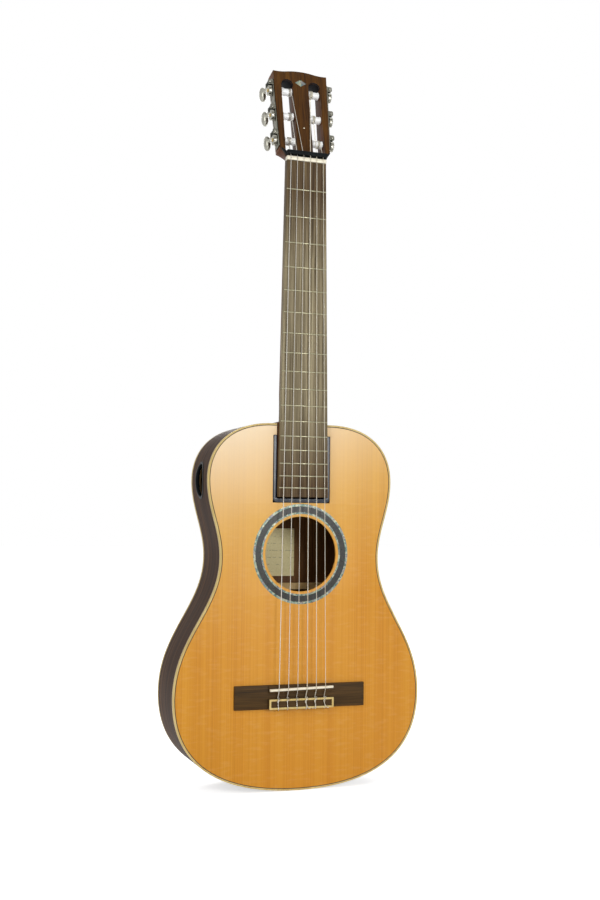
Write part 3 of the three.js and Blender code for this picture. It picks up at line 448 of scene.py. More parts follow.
def build_materials():
    return {
        "cedar": cedar(),
        "side": wood("rosewood_side", tones("1f130c 382518 4e3624 674932", (0.3, 0.46, 0.58, 0.75)),
            (5, 120, 3.2), (20, 900, 9), (60, 1500, 40), (0.45, 0.6), specular=0.04),
        "back": wood("rosewood_back", tones("33210f 59391b 704c26 8a643a", (0.3, 0.46, 0.58, 0.75)),
            (90, 5, 2.4), (750, 20, 7), (1500, 60, 40), (0.4, 0.55), 0.0, True),
        "head": wood("rosewood_head", tones("1e1004 3b220a 54340f 78501e", (0.28, 0.43, 0.57, 0.75)),
            (230, 20, 10), (1300, 60, 22), (1700, 60, 60), (0.35, 0.5)),
        "neck": wood("mahogany_neck", tones("331808 4f2a10 673a17 7f4f25", (0.28, 0.45, 0.58, 0.75)),
            (130, 130, 5), (900, 900, 14), (1700, 1700, 70), (0.34, 0.5), 0.05),
        "board": fingerboard(),
        "bridge": wood("bridge_rosewood", tones("1d1308 392811 4e381b 664a2a"),
            (7, 90, 240), (22, 700, 1300), (70, 1500, 1900), (0.4, 0.58)),
        "cream": wood("maple_trim", tones("ab8f50 c4a968 d4bd80 e0cd9a"),
            (60, 300, 8), (400, 1500, 20), (900, 900, 60), (0.35, 0.5), 0.05),
        "purfling": plain("dark_purfling", "1d120c", "33231a", (0.35, 0.5)),
        "spruce": wood("spruce_inner", tones("a98753 c4a26c d4b582 e1c799"),
            (40, 40, 40), (700, 700, 12), (900, 900, 40), (0.6, 0.8)),
        "block": wood("mahogany_block", tones("4a2817 6a3e25 7f5133 946544"),
            (60, 60, 8), (600, 600, 16), (1200, 1200, 60), (0.6, 0.8)),
        "abalone": abalone(),
        "band": dark_band(),
        "black": plain("black_gloss", "0b0e16", "161b27", (0.3, 0.42), coat=0.1, specular=0.25),
        "keeper": plain("keeper_black", "07090a", "121718", (0.35, 0.5), specular=0.1),
        # Painted shade for the walls at the slots' top ends.
        "slot_end": plain("slot_end_shade", "0b0a0c", "17151a", (0.5, 0.65), specular=0.1),
        "bone": plain("polished_bone", "e6dcbf", "f5efdc", (0.3, 0.42), grain=900, bump=0.02 * MM),
        "white": plain("white_plastic", "ecebe8", "f8f8f6", (0.25, 0.36)),
        "nickel": plain("nickel_plate", "86847a", "b1afa4", (0.18, 0.34), metallic=1.0, grain=160),
        "plate": plain("plate_nickel", "5d5c52", "8c8a7e", (0.22, 0.4), metallic=1.0, grain=160),
        "bezel": plain("bezel_gloss", "0a111c", "182434", (0.26, 0.4), coat=0.15, specular=0.35),
        "brass": plain("gear_brass", "9c8350", "c2ab74", (0.2, 0.34), metallic=1.0),
        "steel": plain("dark_steel", "1d1f1c", "3a3c36", (0.25, 0.4), metallic=0.8),
        "fret": plain("fret_nickel", "8f8a6e", "b5b096", (0.25, 0.4), metallic=0.9),
        "paper": paper(),
        "wound": wound(),
        "nylon": nylon(),
    }


# ---------------- mesh work (millimetres from here on)
def publish(name, points, faces, material, body, slot, replaces=(), sharp=35, free=False):
    """Makes the piece, turns its faces out, smooths all but sharp edges, and seats it on its body."""
    mesh = bpy.data.meshes.new(name)
    mesh.from_pydata(metres(points), [], faces)
    if signed_volume(points, faces) < 0:
        mesh.flip_normals()
    mesh.validate()
    mesh.shade_smooth()
    mesh.set_sharp_from_angle(angle=radians(sharp))
    mesh.materials.append(material)
    piece = added(name, mesh)
    if not free:
        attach(piece, body)
    if replaces:
        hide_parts(*replaces)
    return piece


def metres(points):
    return (np.array([tuple(p) for p in points], float) * MM).tolist()


def signed_volume(points, faces):
    p = np.array(metres(points))
    total = 0.0
    for face in faces:
        a = p[face[0]]
        for i in range(1, len(face) - 1):
            total += a @ np.cross(p[face[i]], p[face[i + 1]])
    return total


def skin(start, count, rows):
    """Faces between neighbouring rows of count points, each row a closed ring."""
    return [(a + k, a + (k + 1) % count, a + count + (k + 1) % count, a + count + k)
            for a in range(start, start + (rows - 1) * count, count) for k in range(count)]


def shape(rings, closed=False):
    """Points and faces of a skin over rings of equal length. Closed joins the last ring to the first."""
    count = len(rings[0])
    points = [p for ring in rings for p in ring]
    faces = skin(0, count, len(rings))
    last = (len(rings) - 1) * count
    if closed:
        faces += [(last + k, last + (k + 1) % count, (k + 1) % count, k) for k in range(count)]
    else:
        faces += [tuple(range(count))[::-1], tuple(range(last, last + count))]
    return points, faces


def together(*shapes):
    points, faces = [], []
    for more_points, more_faces in shapes:
        start = len(points)
        points += list(more_points)
        faces += [tuple(start + k for k in face) for face in more_faces]
    return points, faces


def placed(solid, matrix):
    points, faces = solid
    moved = [matrix @ Vector(p) for p in points]
    if matrix.determinant() < 0:
        faces = [face[::-1] for face in faces]
    return moved, faces


def inset(loop, distance):
    """A closed loop moved to its own left by a distance."""
    a = np.array(loop, float)
    into = a - np.roll(a, 1, 0)
    out = np.roll(a, -1, 0) - a
    into /= np.linalg.norm(into, axis=1)[:, None] + 1e-12
    out /= np.linalg.norm(out, axis=1)[:, None] + 1e-12
    left = np.stack([-into[:, 1] - out[:, 1], into[:, 0] + out[:, 0]], 1)
    left /= np.linalg.norm(left, axis=1)[:, None] + 1e-12
    stretch = 1 / np.sqrt(np.clip((1 + (into * out).sum(1)) / 2, 0.2, 1))
    return a + left * (distance * stretch)[:, None]


def turned(loop, anticlockwise):
    a = np.array(loop, float)
    area = (a[:, 0] * np.roll(a[:, 1], -1) - np.roll(a[:, 0], -1) * a[:, 1]).sum()
    return a if (area > 0) == anticlockwise else a[::-1]


def plate(loops, low, high, round_by, steps=3):
    """A flat plate with rounded rims: the first loop is its outline and the others are holes."""
    loops = [turned(loop, i == 0) for i, loop in enumerate(loops)]
    quarter = [pi / 2 * k / steps for k in range(steps + 1)]
    rows = [(round_by * (1 - sin(t)), low + round_by * (1 - cos(t))) for t in quarter]
    rows += [(d, high - (h - low)) for d, h in rows[::-1]]
    points, faces, ends = [], [], []
    for loop in loops:
        start, count = len(points), len(loop)
        for distance, height in rows:
            points += [(x, y, height) for x, y in inset(loop, distance)]
        faces += skin(start, count, len(rows))
        ends.append((start, start + (len(rows) - 1) * count, count))
    flat = [[Vector((points[low_at + k][0] * MM, points[low_at + k][1] * MM, 0)) for k in range(count)]
            for low_at, _, count in ends]
    bottom = [low_at + k for low_at, _, count in ends for k in range(count)]
    top = [high_at + k for _, high_at, count in ends for k in range(count)]
    for a, b, c in tessellate_polygon(flat):
        pa, pb, pc = (Vector(points[top[k]]) for k in (a, b, c))
        if (pb - pa).cross(pc - pa).z < 0:
            a, b = b, a
        faces.append((top[a], top[b], top[c]))
        faces.append((bottom[c], bottom[b], bottom[a]))
    return points, faces


def around(count):
    """Angles evenly spaced round a full turn."""
    return [2 * pi * k / count for k in range(count)]


def circle(radius, count, x=0.0, y=0.0):
    return [(x + radius * cos(t), y + radius * sin(t)) for t in around(count)]


def round_box(x0, x1, y0, y1, radius, steps=6):
    loop = []
    corners = [(x1 - radius, y0 + radius, -90), (x1 - radius, y1 - radius, 0),
               (x0 + radius, y1 - radius, 90), (x0 + radius, y0 + radius, 180)]
    for cx, cy, start in corners:
        for k in range(steps + 1):
            t = radians(start + 90 * k / steps)
            loop.append((cx + radius * cos(t), cy + radius * sin(t)))
    return loop


def lathe(profile, sides, closed=False):
    """A turned solid about Z from (radius, height) pairs."""
    return shape([[(r * cos(t), r * sin(t), h) for t in around(sides)] for r, h in profile], closed)


def tube(path, radius, sides):
    """A round tube along a list of points."""
    points = [Vector(p) for p in path]
    rings = []
    side = None
    for i, here in enumerate(points):
        along = (points[min(i + 1, len(points) - 1)] - points[max(i - 1, 0)]).normalized()
        if side is None:
            side = along.orthogonal().normalized()
        side = (side - along * side.dot(along)).normalized()
        up = along.cross(side)
        rings.append([here + (side * cos(t) + up * sin(t)) * radius for t in around(sides)])
    return shape(rings)


FACE_FRAME = Matrix(((1, 0, 0, 0), (0, 0, -1, 0), (0, 1, 0, 0), (0, 0, 0, 1)))


def on_face(solid):
    """Puts a solid drawn in X, Z and height in front of the Y = 0 plane into the row frame."""
    return placed(solid, FACE_FRAME)


# ---------------- the body
def bend(start, handle_a, handle_b, end, steps=26):
    """A Bezier curve's points, the first one left out."""
    a, b, c, d = (np.array(p, float) for p in (start, handle_a, handle_b, end))
    t = np.linspace(0, 1, steps + 1)[1:, None]
    curve = (1 - t) ** 3 * a + 3 * (1 - t) ** 2 * t * b + 3 * (1 - t) * t ** 2 * c + t ** 3 * d
    return [tuple(p) for p in curve]


def treble_half():
    lower = (BINDING_HIGH.x, LOWER_BOUT_Z)
    waist = (WAIST / 2, WAIST_Z)
    upper = (UPPER_BOUT / 2, UPPER_BOUT_Z)
    length = BINDING_HIGH.z
    corner = (TOP_FLAT / 2, length)
    belly = 0.55 * LOWER_BOUT_Z
    hips = WAIST_Z - LOWER_BOUT_Z
    chest = UPPER_BOUT_Z - WAIST_Z
    shoulder = length - UPPER_BOUT_Z
    reach = corner[0] + 0.702 * (upper[0] - corner[0])
    return np.vstack([
        [(0, 0)],
        bend((0, 0), (0.75 * lower[0], 0), (lower[0], lower[1] - belly), lower),
        bend(lower, (lower[0], lower[1] + 0.44 * hips), (waist[0], waist[1] - 0.375 * hips), waist),
        bend(waist, (waist[0], waist[1] + 0.36 * chest), (upper[0], upper[1] - 0.37 * chest), upper),
        bend(upper, (upper[0], upper[1] + 0.53 * shoulder), (reach, length), corner),
        [(0, length)],
    ])


def outline(distance=0.0):
    right = treble_half()
    left = right[1:-1][::-1] * np.array([-1, 1])
    return inset(np.vstack([right, left]), distance)


def half_outline(distance):
    """The treble half of an inset outline, bottom's middle first."""
    return outline(distance)[: len(treble_half())]


def notched(distance, half, floor, wide_half, step_z):
    """The outline with the neck's pocket cut into its top end, wider below step_z."""
    whole = outline(distance)
    right = [tuple(p) for p in whole[:len(treble_half())] if not (abs(p[0]) < half + 1e-6 and p[1] > floor)]
    right += [(half, whole[:, 1].max()), (half, step_z), (wide_half, step_z), (wide_half, floor)]
    return right + [(-x, z) for x, z in right[::-1] if abs(x) > 1e-9]


BINDING_WIDTH = 2.1
BINDING_DEPTH = 5
PURFLING_WIDTH = 0.8
PURFLING_DEPTH = 1.6
PLATE_THICKNESS = 2.6
POCKET_HALF = 32.6


def make_plates(m):
    inside = BINDING_WIDTH + PURFLING_WIDTH
    bezel_half = BEZEL_HIGH.x + FIT
    loop = notched(inside, POCKET_HALF, BEZEL_LOW.z - FIT, bezel_half, BEZEL_HIGH.z + FIT)
    hole = circle(HOLE_RADIUS, 96, 0, HOLE_Z)
    top = on_face(plate([loop, hole], -FACE_Y - PLATE_THICKNESS, -FACE_Y, 0.25))
    publish("soundboard_cedar", *top, m["cedar"], "body", "cedar_top", ["soundboard"])
    back = on_face(plate([outline(inside)], -BACK_Y, -BACK_Y + PLATE_THICKNESS, 0.25))
    publish("back_rosewood", *back, m["back"], "body", "rosewood_body", ["back_plate"])


def make_bindings(m):
    inner = BINDING_WIDTH + PURFLING_WIDTH
    for name, face, inward, node in (("binding_front", -FACE_Y, -1, "top_binding"),
                                     ("binding_back", -BACK_Y, 1, "back_binding")):
        for piece, near, far, depth, look, slot, replaced in (
            (name, 0, BINDING_WIDTH, BINDING_DEPTH, "cream", "maple_trim", [node]),
            (name + "_purfling", BINDING_WIDTH, inner, PURFLING_DEPTH, "purfling", "rosewood_body", ()),
        ):
            low, high = sorted((face, face + inward * depth))
            solid = ring_strip(near, far, low, high, node == "top_binding")
            publish(piece, *on_face(solid), m[look], "body", slot, replaced)


def ring_strip(near, far, low, high, open_end):
    """A band between two insets, all the way round or open at the neck."""
    round_by = min(0.3, (far - near) / 3)
    if not open_end:
        return plate([outline(near), outline(far)], low, high, round_by)
    edges = []
    for distance in (near, far):
        half = [tuple(p) for p in half_outline(distance)]
        kept = [p for p in half if not (p[0] < POCKET_HALF and p[1] > LOWER_BOUT_Z)]
        kept.append((POCKET_HALF, half[-1][1]))
        edges.append([(-x, z) for x, z in kept[:0:-1]] + kept)
    return plate([edges[0] + edges[1][::-1]], low, high, round_by)


SIDE_THICKNESS = 2.3
TONGUE_DEPTH = 30.3


def make_sides(m):
    low, high = BACK_HIGH.y - 5.05, FACE_Y + 5.05
    for name, side, node in (("side_rib_treble", 1, "side_treble"), ("side_rib_bass", -1, "side_bass")):
        outer = half_outline(0) * np.array([side, 1])
        inner = half_outline(SIDE_THICKNESS) * np.array([side, 1])
        seam = side * 8
        solids = []
        for top_limit, y0, y1 in ((POCKET_HALF, high, FACE_Y + TONGUE_DEPTH),
                                  (0.0, FACE_Y + TONGUE_DEPTH, low)):
            band = side_band(outer, seam, top_limit, side)
            band += side_band(inner, seam, top_limit, side)[::-1]
            solids.append(on_face(plate([band], -y1, -y0, 0.02, 1)))
        solid = together(*solids)
        piece = publish(name, *solid, m["side"], "body", "rosewood_body", [node])
        if side < 0:
            cut_port(piece)


def side_band(points, seam, top_limit, side):
    kept = [tuple(p) for p in points if abs(p[0]) > abs(seam) or p[1] > LOWER_BOUT_Z]
    kept = [(seam, points[0][1])] + [p for p in kept if not (abs(p[0]) <= top_limit and p[1] > LOWER_BOUT_Z)]
    return kept + [(side * top_limit, points[-1][1])]


def cut_port(rib):
    oval = [(x * PORT_WIDTH / 2, z * PORT_LENGTH / 2) for x, z in circle(1, 64)]
    depth = 60
    middle = -UPPER_BOUT / 2
    points, faces = plate([oval], -depth, depth, 0.01, 1)
    mesh = bpy.data.meshes.new("port_cutter")
    mesh.from_pydata(metres([(middle + h, y, PORT_Z + z) for y, z, h in points]), [], faces)
    cutter = added("port_cutter", mesh)
    cut = rib.modifiers.new("port", "BOOLEAN")
    cut.operation = "DIFFERENCE"
    cut.solver = "EXACT"
    cut.object = cutter
    bpy.context.view_layer.update()
    done = bpy.data.meshes.new_from_object(rib.evaluated_get(bpy.context.evaluated_depsgraph_get()))
    rib.modifiers.clear()
    rib.data = done
    bpy.data.objects.remove(cutter)


def outline_x(z):
    """The bass side's X at one height of the upper body."""
    half = half_outline(0)
    upper = half[half[:, 1] > WAIST_Z]
    return -float(np.interp(z, upper[:, 1], upper[:, 0]))


def make_port_ring(m):
    """A rounded lip round the port that follows the bent side, with a short sleeve through it."""
    section = [(-0.3, -3.6), (-0.3, -0.1), (0.9, -0.1), (1.0, 0.35), (0.3, 0.6), (-1.2, 0.6), (-2.0, 0.2),
               (-2.3, -1.0), (-2.3, -3.6)]
    rings = []
    for t in around(72):
        ring = []
        for out, rise in section:
            y = (PORT_WIDTH / 2 + out) * cos(t)
            z = PORT_Z + (PORT_LENGTH / 2 + out) * sin(t)
            ring.append((outline_x(z) - rise, y, z))
        rings.append(ring)
    solid = shape(rings, closed=True)
    publish("side_port_lip", *solid, m["keeper"], "body", "black_gloss", ["side_port_ring"], 40)


ROSETTE_INNER = 49.0
INNER_SHELL = 2.2
OUTER_SHELL = 2.9


def make_rosette(m):
    inner, outer = ROSETTE_INNER, ROSETTE_HIGH.x
    dark_from, dark_to = inner + INNER_SHELL, outer - OUTER_SHELL
    bands = [("rosette_shell_outer", dark_to, outer, "abalone"),
             ("rosette_dark_band", dark_from, dark_to, "band"),
             ("rosette_shell_inner", inner, dark_from, "abalone")]
    for i, (name, near, far, look) in enumerate(bands):
        loops = [circle(far, 128, 0, HOLE_Z), circle(near, 128, 0, HOLE_Z)]
        solid = on_face(plate(loops, -FACE_Y + 0.02, -FACE_Y + 0.16, 0.05, 1))
        publish(name, *solid, m[look], "body", "abalone_inlay", ["rosette"] if i == 1 else ())


def make_bezel(m):
    outer = round_box(BEZEL_LOW.x, BEZEL_HIGH.x, BEZEL_LOW.z, BEZEL_HIGH.z + 20, 5, 8)
    inner = round_box(-POCKET_HALF, POCKET_HALF, BEZEL_LOW.z + 5, BEZEL_HIGH.z + 20, 2, 6)
    top = BEZEL_HIGH.z
    outer = [p for p in outer if p[1] < top]
    inner = [p for p in inner if p[1] < top]
    right_out, left_out = [p for p in outer if p[0] > 0], [p for p in outer if p[0] < 0]
    right_in, left_in = [p for p in inner if p[0] > 0], [p for p in inner if p[0] < 0]
    by_rise = lambda p: (p[1], abs(p[0]))
    loop = sorted(right_out, key=by_rise) + [(BEZEL_HIGH.x, top), (POCKET_HALF, top)]
    loop += sorted(right_in, key=by_rise, reverse=True) + sorted(left_in, key=by_rise)
    loop += [(-POCKET_HALF, top), (BEZEL_LOW.x, top)] + sorted(left_out, key=by_rise, reverse=True)
    solid = on_face(plate([loop], -BEZEL_HIGH.y, -BEZEL_LOW.y, 0.7, 4))
    publish("pocket_frame", *solid, m["bezel"], "body", "black_gloss", ["pocket_bezel"])


def make_bridge(m):
    front = -BRIDGE_HIGH.y
    half = BRIDGE_HIGH.x
    centre = TRIM_HIGH.x
    wing = 3.7
    z0, z1 = BRIDGE_LOW.z, BRIDGE_HIGH.z
    tie_top = -TRIM_HIGH.y - FIT
    profile = [(-half, 0), (half, 0), (half, 0.62 * wing), (half - 4, 0.8 * wing), (centre + 5, 0.86 * wing),
               (centre, wing), (-centre, wing), (-centre - 5, 0.86 * wing), (-half + 4, 0.8 * wing),
               (-half, 0.62 * wing)]
    base = plate([profile], z0, z1, 0.6)
    base = ([(x, -(front + h), z) for x, h, z in base[0]], base[1])
    tie = on_face(plate([round_box(-centre, centre, z0 + 0.2, z0 + 12.2, 0.6)], front + wing, tie_top,
                        0.25))
    bed = on_face(plate([round_box(-centre, centre, SADDLE_Z - 5, z1 - 0.3, 1.2)], front + wing,
                        front + 6, 0.8))
    publish("bridge_rosewood", *together(base, tie, bed), m["bridge"], "body", "dark_rosewood", ["bridge"])
    frame_loop = round_box(-centre, centre, TRIM_LOW.z, TRIM_HIGH.z, 0.8)
    wide = 2.4
    hole = round_box(-centre + wide, centre - wide, TRIM_LOW.z + wide, TRIM_HIGH.z - wide, 0.5)
    trim = on_face(plate([frame_loop, hole], tie_top, -TRIM_LOW.y, 0.3))
    publish("tie_block_frame", *trim, m["cream"], "body", "maple_trim", ["tie_block_trim"])


def make_saddle(m):
    """A slanted bone bar with a rounded crown."""
    low, high = SADDLE_LOW, SADDLE_HIGH
    half_thick = 1.4
    rings = []
    for k in range(13):
        x = low.x + (high.x - low.x) * k / 12
        z = SADDLE_Z + SADDLE_SLANT * (k / 12 - 0.5)
        crown = low.y + (0.25 if k in (0, 12) else 0.0)
        ring = [(x, high.y, z - half_thick), (x, crown + 0.9, z - half_thick), (x, crown + 0.3, z - 0.8),
                (x, crown, z), (x, crown + 0.3, z + 0.8), (x, crown + 0.9, z + half_thick),
                (x, high.y, z + half_thick)]
        rings.append(ring)
    publish("bone_saddle", *shape(rings), m["bone"], "body", "bone", ["saddle"], 50)


# ---------------- the neck
HEAD_FRAME = (Matrix.Translation((0, FACE_Y - 4.2, NUT_Z + 5.3))
              @ Matrix.Rotation(pi / 2 - HEAD_TILT, 4, "X"))


def half_board(z):
    share = (z - BOARD_LOW.z) / (NUT_Z - BOARD_LOW.z)
    return BOARD_HIGH.x + (NUT_HIGH.x - BOARD_HIGH.x) * share


def neck_ring(z, width, depth, pinch):
    """One cross-section: flat in front, round behind, and narrower towards its back by pinch."""
    ring = []
    for t in around(80)[:41]:
        bulge = sin(t) ** 0.92
        ring.append((width * cos(t) * (1 - pinch * bulge), FACE_Y + depth * bulge, z))
    return ring


HEEL_LENGTH = 34
HEEL_DEPTH = 60
HEEL_PINCH = 0.5
SHAFT_DEPTH = 15
SHAFT_GROWTH = 1.2
NECK_END = NUT_Z + 9


def make_neck(m):
    start = BINDING_HIGH.z + FIT
    rings = []
    for k in range(61):
        share = k / 60
        z = start + (NECK_END - start) * share ** 1.7
        rest = max(0.0, 1 - (z - start) / HEEL_LENGTH)
        shaft = SHAFT_DEPTH + SHAFT_GROWTH * max(0.0, 1 - (z - start) / (NUT_Z - start))
        depth = shaft + (HEEL_DEPTH - shaft) * rest ** 1.6
        width = half_board(min(z, NUT_Z)) - 0.3 * rest
        rings.append(neck_ring(z, width, depth, HEEL_PINCH * rest ** 1.2))
    tongue = on_face(plate([round_box(-31.5, 31.5, BOARD_LOW.z, start + 2, 1.5)],
                           -FACE_Y - 30, -FACE_Y, 0.5))
    publish("neck_shaft", *together(shape(rings), tongue), m["neck"], "neck", "mahogany_neck", ["neck"], 50)


def head_outline():
    base, shoulder, tip = NUT_HIGH.x + 1, HEAD_BASE_WIDTH / 2, HEAD_TOP_WIDTH / 2
    corner = bend((base, 0), (base + 1.5, 0.5 * HEAD_SHOULDER), (base + 3, 0.8 * HEAD_SHOULDER),
                  (shoulder, HEAD_SHOULDER), 10)
    crown = bend((tip, HEAD_LENGTH), (tip / 2, HEAD_LENGTH - 1), (tip / 2, HEAD_LENGTH + HEAD_CROWN),
                 (0, HEAD_LENGTH + HEAD_CROWN), 20)
    right = [(base, 0)] + corner + [(tip, HEAD_LENGTH)] + crown
    return right + [(-x, u) for x, u in right[-2::-1]]


def slot_loop(side):
    radius = SLOT_WIDTH / 2
    middle = side * SLOT_MIDDLE
    arc = [(middle + radius * cos(t), SLOT_END - radius + radius * sin(t))
           for t in (pi * k / 20 for k in range(21))]
    return [(middle - radius, SLOT_START), (middle + radius, SLOT_START)] + arc


def scarfed(x, u, rise):
    """Draws the head's lower back edge in towards the shaft."""
    near = max(0.0, 1 - u / HEAD_SHOULDER)
    deep = -rise / HEAD_THICKNESS
    return x * (1 - 0.2 * near * deep ** 2), u + 5 * near * deep, rise


def paint_slot_end_shade(piece, m):
    """Painted shade: the walls at the rounded top ends of the slots get a near-black material."""
    piece.data.materials.append(m["slot_end"])
    to_head = HEAD_FRAME.inverted()
    for face in piece.data.polygons:
        spot = to_head @ (face.center / MM)
        tilt = (to_head.to_3x3() @ face.normal).z
        in_slot = abs(abs(spot.x) - SLOT_MIDDLE) < SLOT_WIDTH / 2 + 0.5
        if in_slot and SLOT_END - SLOT_WIDTH / 2 < spot.y < SLOT_END + 0.5 and abs(tilt) < 0.4:
            face.material_index = 1


def make_head(m):
    loops = [head_outline(), slot_loop(-1), slot_loop(1)]
    points, faces = plate(loops, -HEAD_THICKNESS, -VENEER, 0.5)
    wood_part = placed(([scarfed(*p) for p in points], faces), HEAD_FRAME)
    head = publish("headstock_wood", *wood_part, m["neck"], "neck", "mahogany_neck", ["headstock"])
    paint_slot_end_shade(head, m)
    face = placed(plate(loops, -VENEER, 0, 0.35), HEAD_FRAME)
    veneer = publish("headstock_face", *face, m["head"], "neck", "mahogany_neck", ["headstock_veneer"])
    paint_slot_end_shade(veneer, m)
    diamond = [(7.5, 0), (0, 4.8), (-7.5, 0), (0, -4.8)]
    at = HEAD_FRAME @ Matrix.Translation((0, 106, 0))
    publish("head_inlay", *placed(plate([diamond], 0.02, 0.12, 0.03, 1), at), m["abalone"], "neck",
            "abalone_inlay")
    dot = placed(plate([circle(0.9, 20, 0.4, 42)], 0.02, 0.12, 0.03, 1), HEAD_FRAME)
    publish("head_dot", *dot, m["bone"], "neck", "bone")


def fret_z(number):
    return SADDLE_Z + SCALE_LENGTH / 2 ** (number / 12)


def make_fretboard(m):
    front = BOARD_LOW.y + FRET_RISE
    loop = [(-half_board(BOARD_LOW.z), BOARD_LOW.z), (half_board(BOARD_LOW.z), BOARD_LOW.z),
            (half_board(BOARD_HIGH.z), BOARD_HIGH.z), (-half_board(BOARD_HIGH.z), BOARD_HIGH.z)]
    board = on_face(plate([loop], -BOARD_HIGH.y, -front, 0.4))
    publish("fretboard_rosewood", *board, m["board"], "neck", "dark_rosewood", ["fretboard"])
    for number in range(1, FRETS + 1):
        z = fret_z(number)
        half = half_board(z) - 0.2
        rings = []
        for x, grow in ((-half, 0.45), (-half + 0.5, 1), (half - 0.5, 1), (half, 0.45)):
            arc = [pi * k / 8 for k in range(9)]
            crown = [(x, front - FRET_RISE * grow * sin(t), z + FRET_HALF_WIDTH * cos(t)) for t in arc]
            rings.append([(x, front + 0.4, z + FRET_HALF_WIDTH), *crown,
                          (x, front + 0.4, z - FRET_HALF_WIDTH)])
        publish(f"fret_{number:02d}", *shape(rings), m["fret"], "neck", "nickel", sharp=50)


def string_lines():
    lines = []
    for i, radius in enumerate(STRING_RADII):
        share = i / 5 - 0.5
        side, row = TUNERS[i]
        lines.append({"number": 6 - i, "radius": radius, "nut_x": share * SPREAD_NUT,
                      "tie_x": share * SPREAD_SADDLE, "side": side, "row": row,
                      "u": FIRST_ROLLER + row * ROLLER_SPACING,
                      "wrap_x": side * (SLOT_MIDDLE - SLOT_WIDTH / 2 + WRAPS[i])})
    return lines


def make_nut(m):
    """A bone bar with a rounded top and a groove for each string."""
    low, high = NUT_LOW, NUT_HIGH
    top = low.y
    places = [(low.x, 0.5), (low.x + 0.6, 0)]
    for line in string_lines():
        x, r = line["nut_x"], line["radius"]
        places += [(x - r - 0.15, 0), (x - r * 0.8, r * 0.9), (x, r * 1.3), (x + r * 0.8, r * 0.9),
                   (x + r + 0.15, 0)]
    places += [(high.x - 0.6, 0), (high.x, 0.5)]
    rings = []
    for x, sunk in places:
        y = top + sunk
        rings.append([(x, high.y, low.z), (x, y + 0.7, low.z), (x, y + 0.2, low.z + 0.6),
                      (x, y, low.z + 1.6), (x, y + 0.1, high.z - 0.8), (x, y + 0.7, high.z),
                      (x, high.y, high.z)])
    publish("bone_nut", *shape(rings), m["bone"], "neck", "bone", ["nut"], 40)


def make_keeper(m):
    """A bridge over the strings behind the nut, with feet that widen over the head's shoulders."""
    inner, edge = SPREAD_NUT / 2 + 1.75, HEAD_BASE_WIDTH / 2
    outer, bar = inner + 3.5, FIT + 5
    over = plate([round_box(-outer, outer, FIT, bar, 1.2)], 6.2, 7.8, 0.6, 4)
    solids = [over]
    base = NUT_HIGH.x + 1
    for side in (-1, 1):
        post = round_box(min(side * inner, side * outer), max(side * inner, side * outer), FIT, bar, 0.8)
        solids.append(plate([post], FIT, 6.8, 0.1, 1))
        foot = bend((inner, bar), (inner + 2, bar + 0.4), (edge - 4, 7), (edge - 1.2, 10.3), 8)
        rim = bend((edge - 0.4, 9.8), (edge - 1.2, 7), (base + 1.4, 4), (base, FIT), 8)
        loop = [(inner, FIT), (inner, bar)] + foot + rim
        solids.append(plate([[(side * x, u) for x, u in loop]], FIT, 3, 0.5, 4))
    gaps = [SPREAD_NUT * (k / 5 - 0.5) for k in range(6)]
    for left, right in zip(gaps, gaps[1:]):
        tooth = round_box(left + 1.2, right - 1.2, FIT, bar, 0.5)
        solids.append(plate([tooth], FIT, 6.8, 0.1, 1))
    publish("string_keeper_bar", *placed(together(*solids), HEAD_FRAME), m["keeper"], "neck", "black_gloss",
            ["string_keeper"])


# ---------------- the tuners
SIDE_TAPER = atan2((HEAD_TOP_WIDTH - HEAD_BASE_WIDTH) / 2, HEAD_LENGTH - HEAD_SHOULDER)


def side_frame(side):
    """X out of the head's edge, Y up along it and Z out of the head's face."""
    foot = Matrix.Translation((side * HEAD_BASE_WIDTH / 2, HEAD_SHOULDER, 0))
    turn = Matrix.Rotation(-side * SIDE_TAPER, 4, "Z")
    return HEAD_FRAME @ foot @ turn @ Matrix.Diagonal((side, 1, 1, 1))


def tuner_height(row):
    return (FIRST_ROLLER + row * ROLLER_SPACING - HEAD_SHOULDER) / cos(SIDE_TAPER)


def slot_inset(row):
    edge = HEAD_BASE_WIDTH / 2 + tuner_height(row) * sin(SIDE_TAPER)
    return (edge - SLOT_MIDDLE) / cos(SIDE_TAPER)


def roller_axis(side, row):
    """Z along the roller, outwards, from the head's edge at the roller's height."""
    at = Matrix.Translation((0, tuner_height(row), -ROLLER_DEPTH))
    return side_frame(side) @ at @ Matrix.Rotation(pi / 2, 4, "Y")


def key_axis(side, row):
    """Z along the key's shaft, out of the head's face, through the worm's axis."""
    return side_frame(side) @ Matrix.Translation((GEAR_MIDDLE, tuner_height(row) + WORM_OFFSET, 0))


def make_roller(m, side, row, number):
    middle = -slot_inset(row)
    half = SLOT_WIDTH / 2 - 0.9
    r = ROLLER_RADIUS
    profile = [(1.9, middle - half - 4), (2, middle - half - 3.6), (2, middle - half),
               (r - 0.4, middle - half), (r, middle - half + 0.4), (r, middle - half + 1.2),
               (r - 0.5, middle - half + 1.7), (r - 0.5, middle + half - 1.7),
               (r, middle + half - 1.2), (r, middle + half - 0.4), (r - 0.4, middle + half),
               (3, middle + half), (3, 2.4), (2.8, 2.6)]
    solid = placed(lathe(profile, 32), roller_axis(side, row))
    publish(f"roller_barrel_{number}", *solid, m["white"], f"tuner_roller_{number}", "white_plastic",
            [f"string_roller_{number}"], 40)


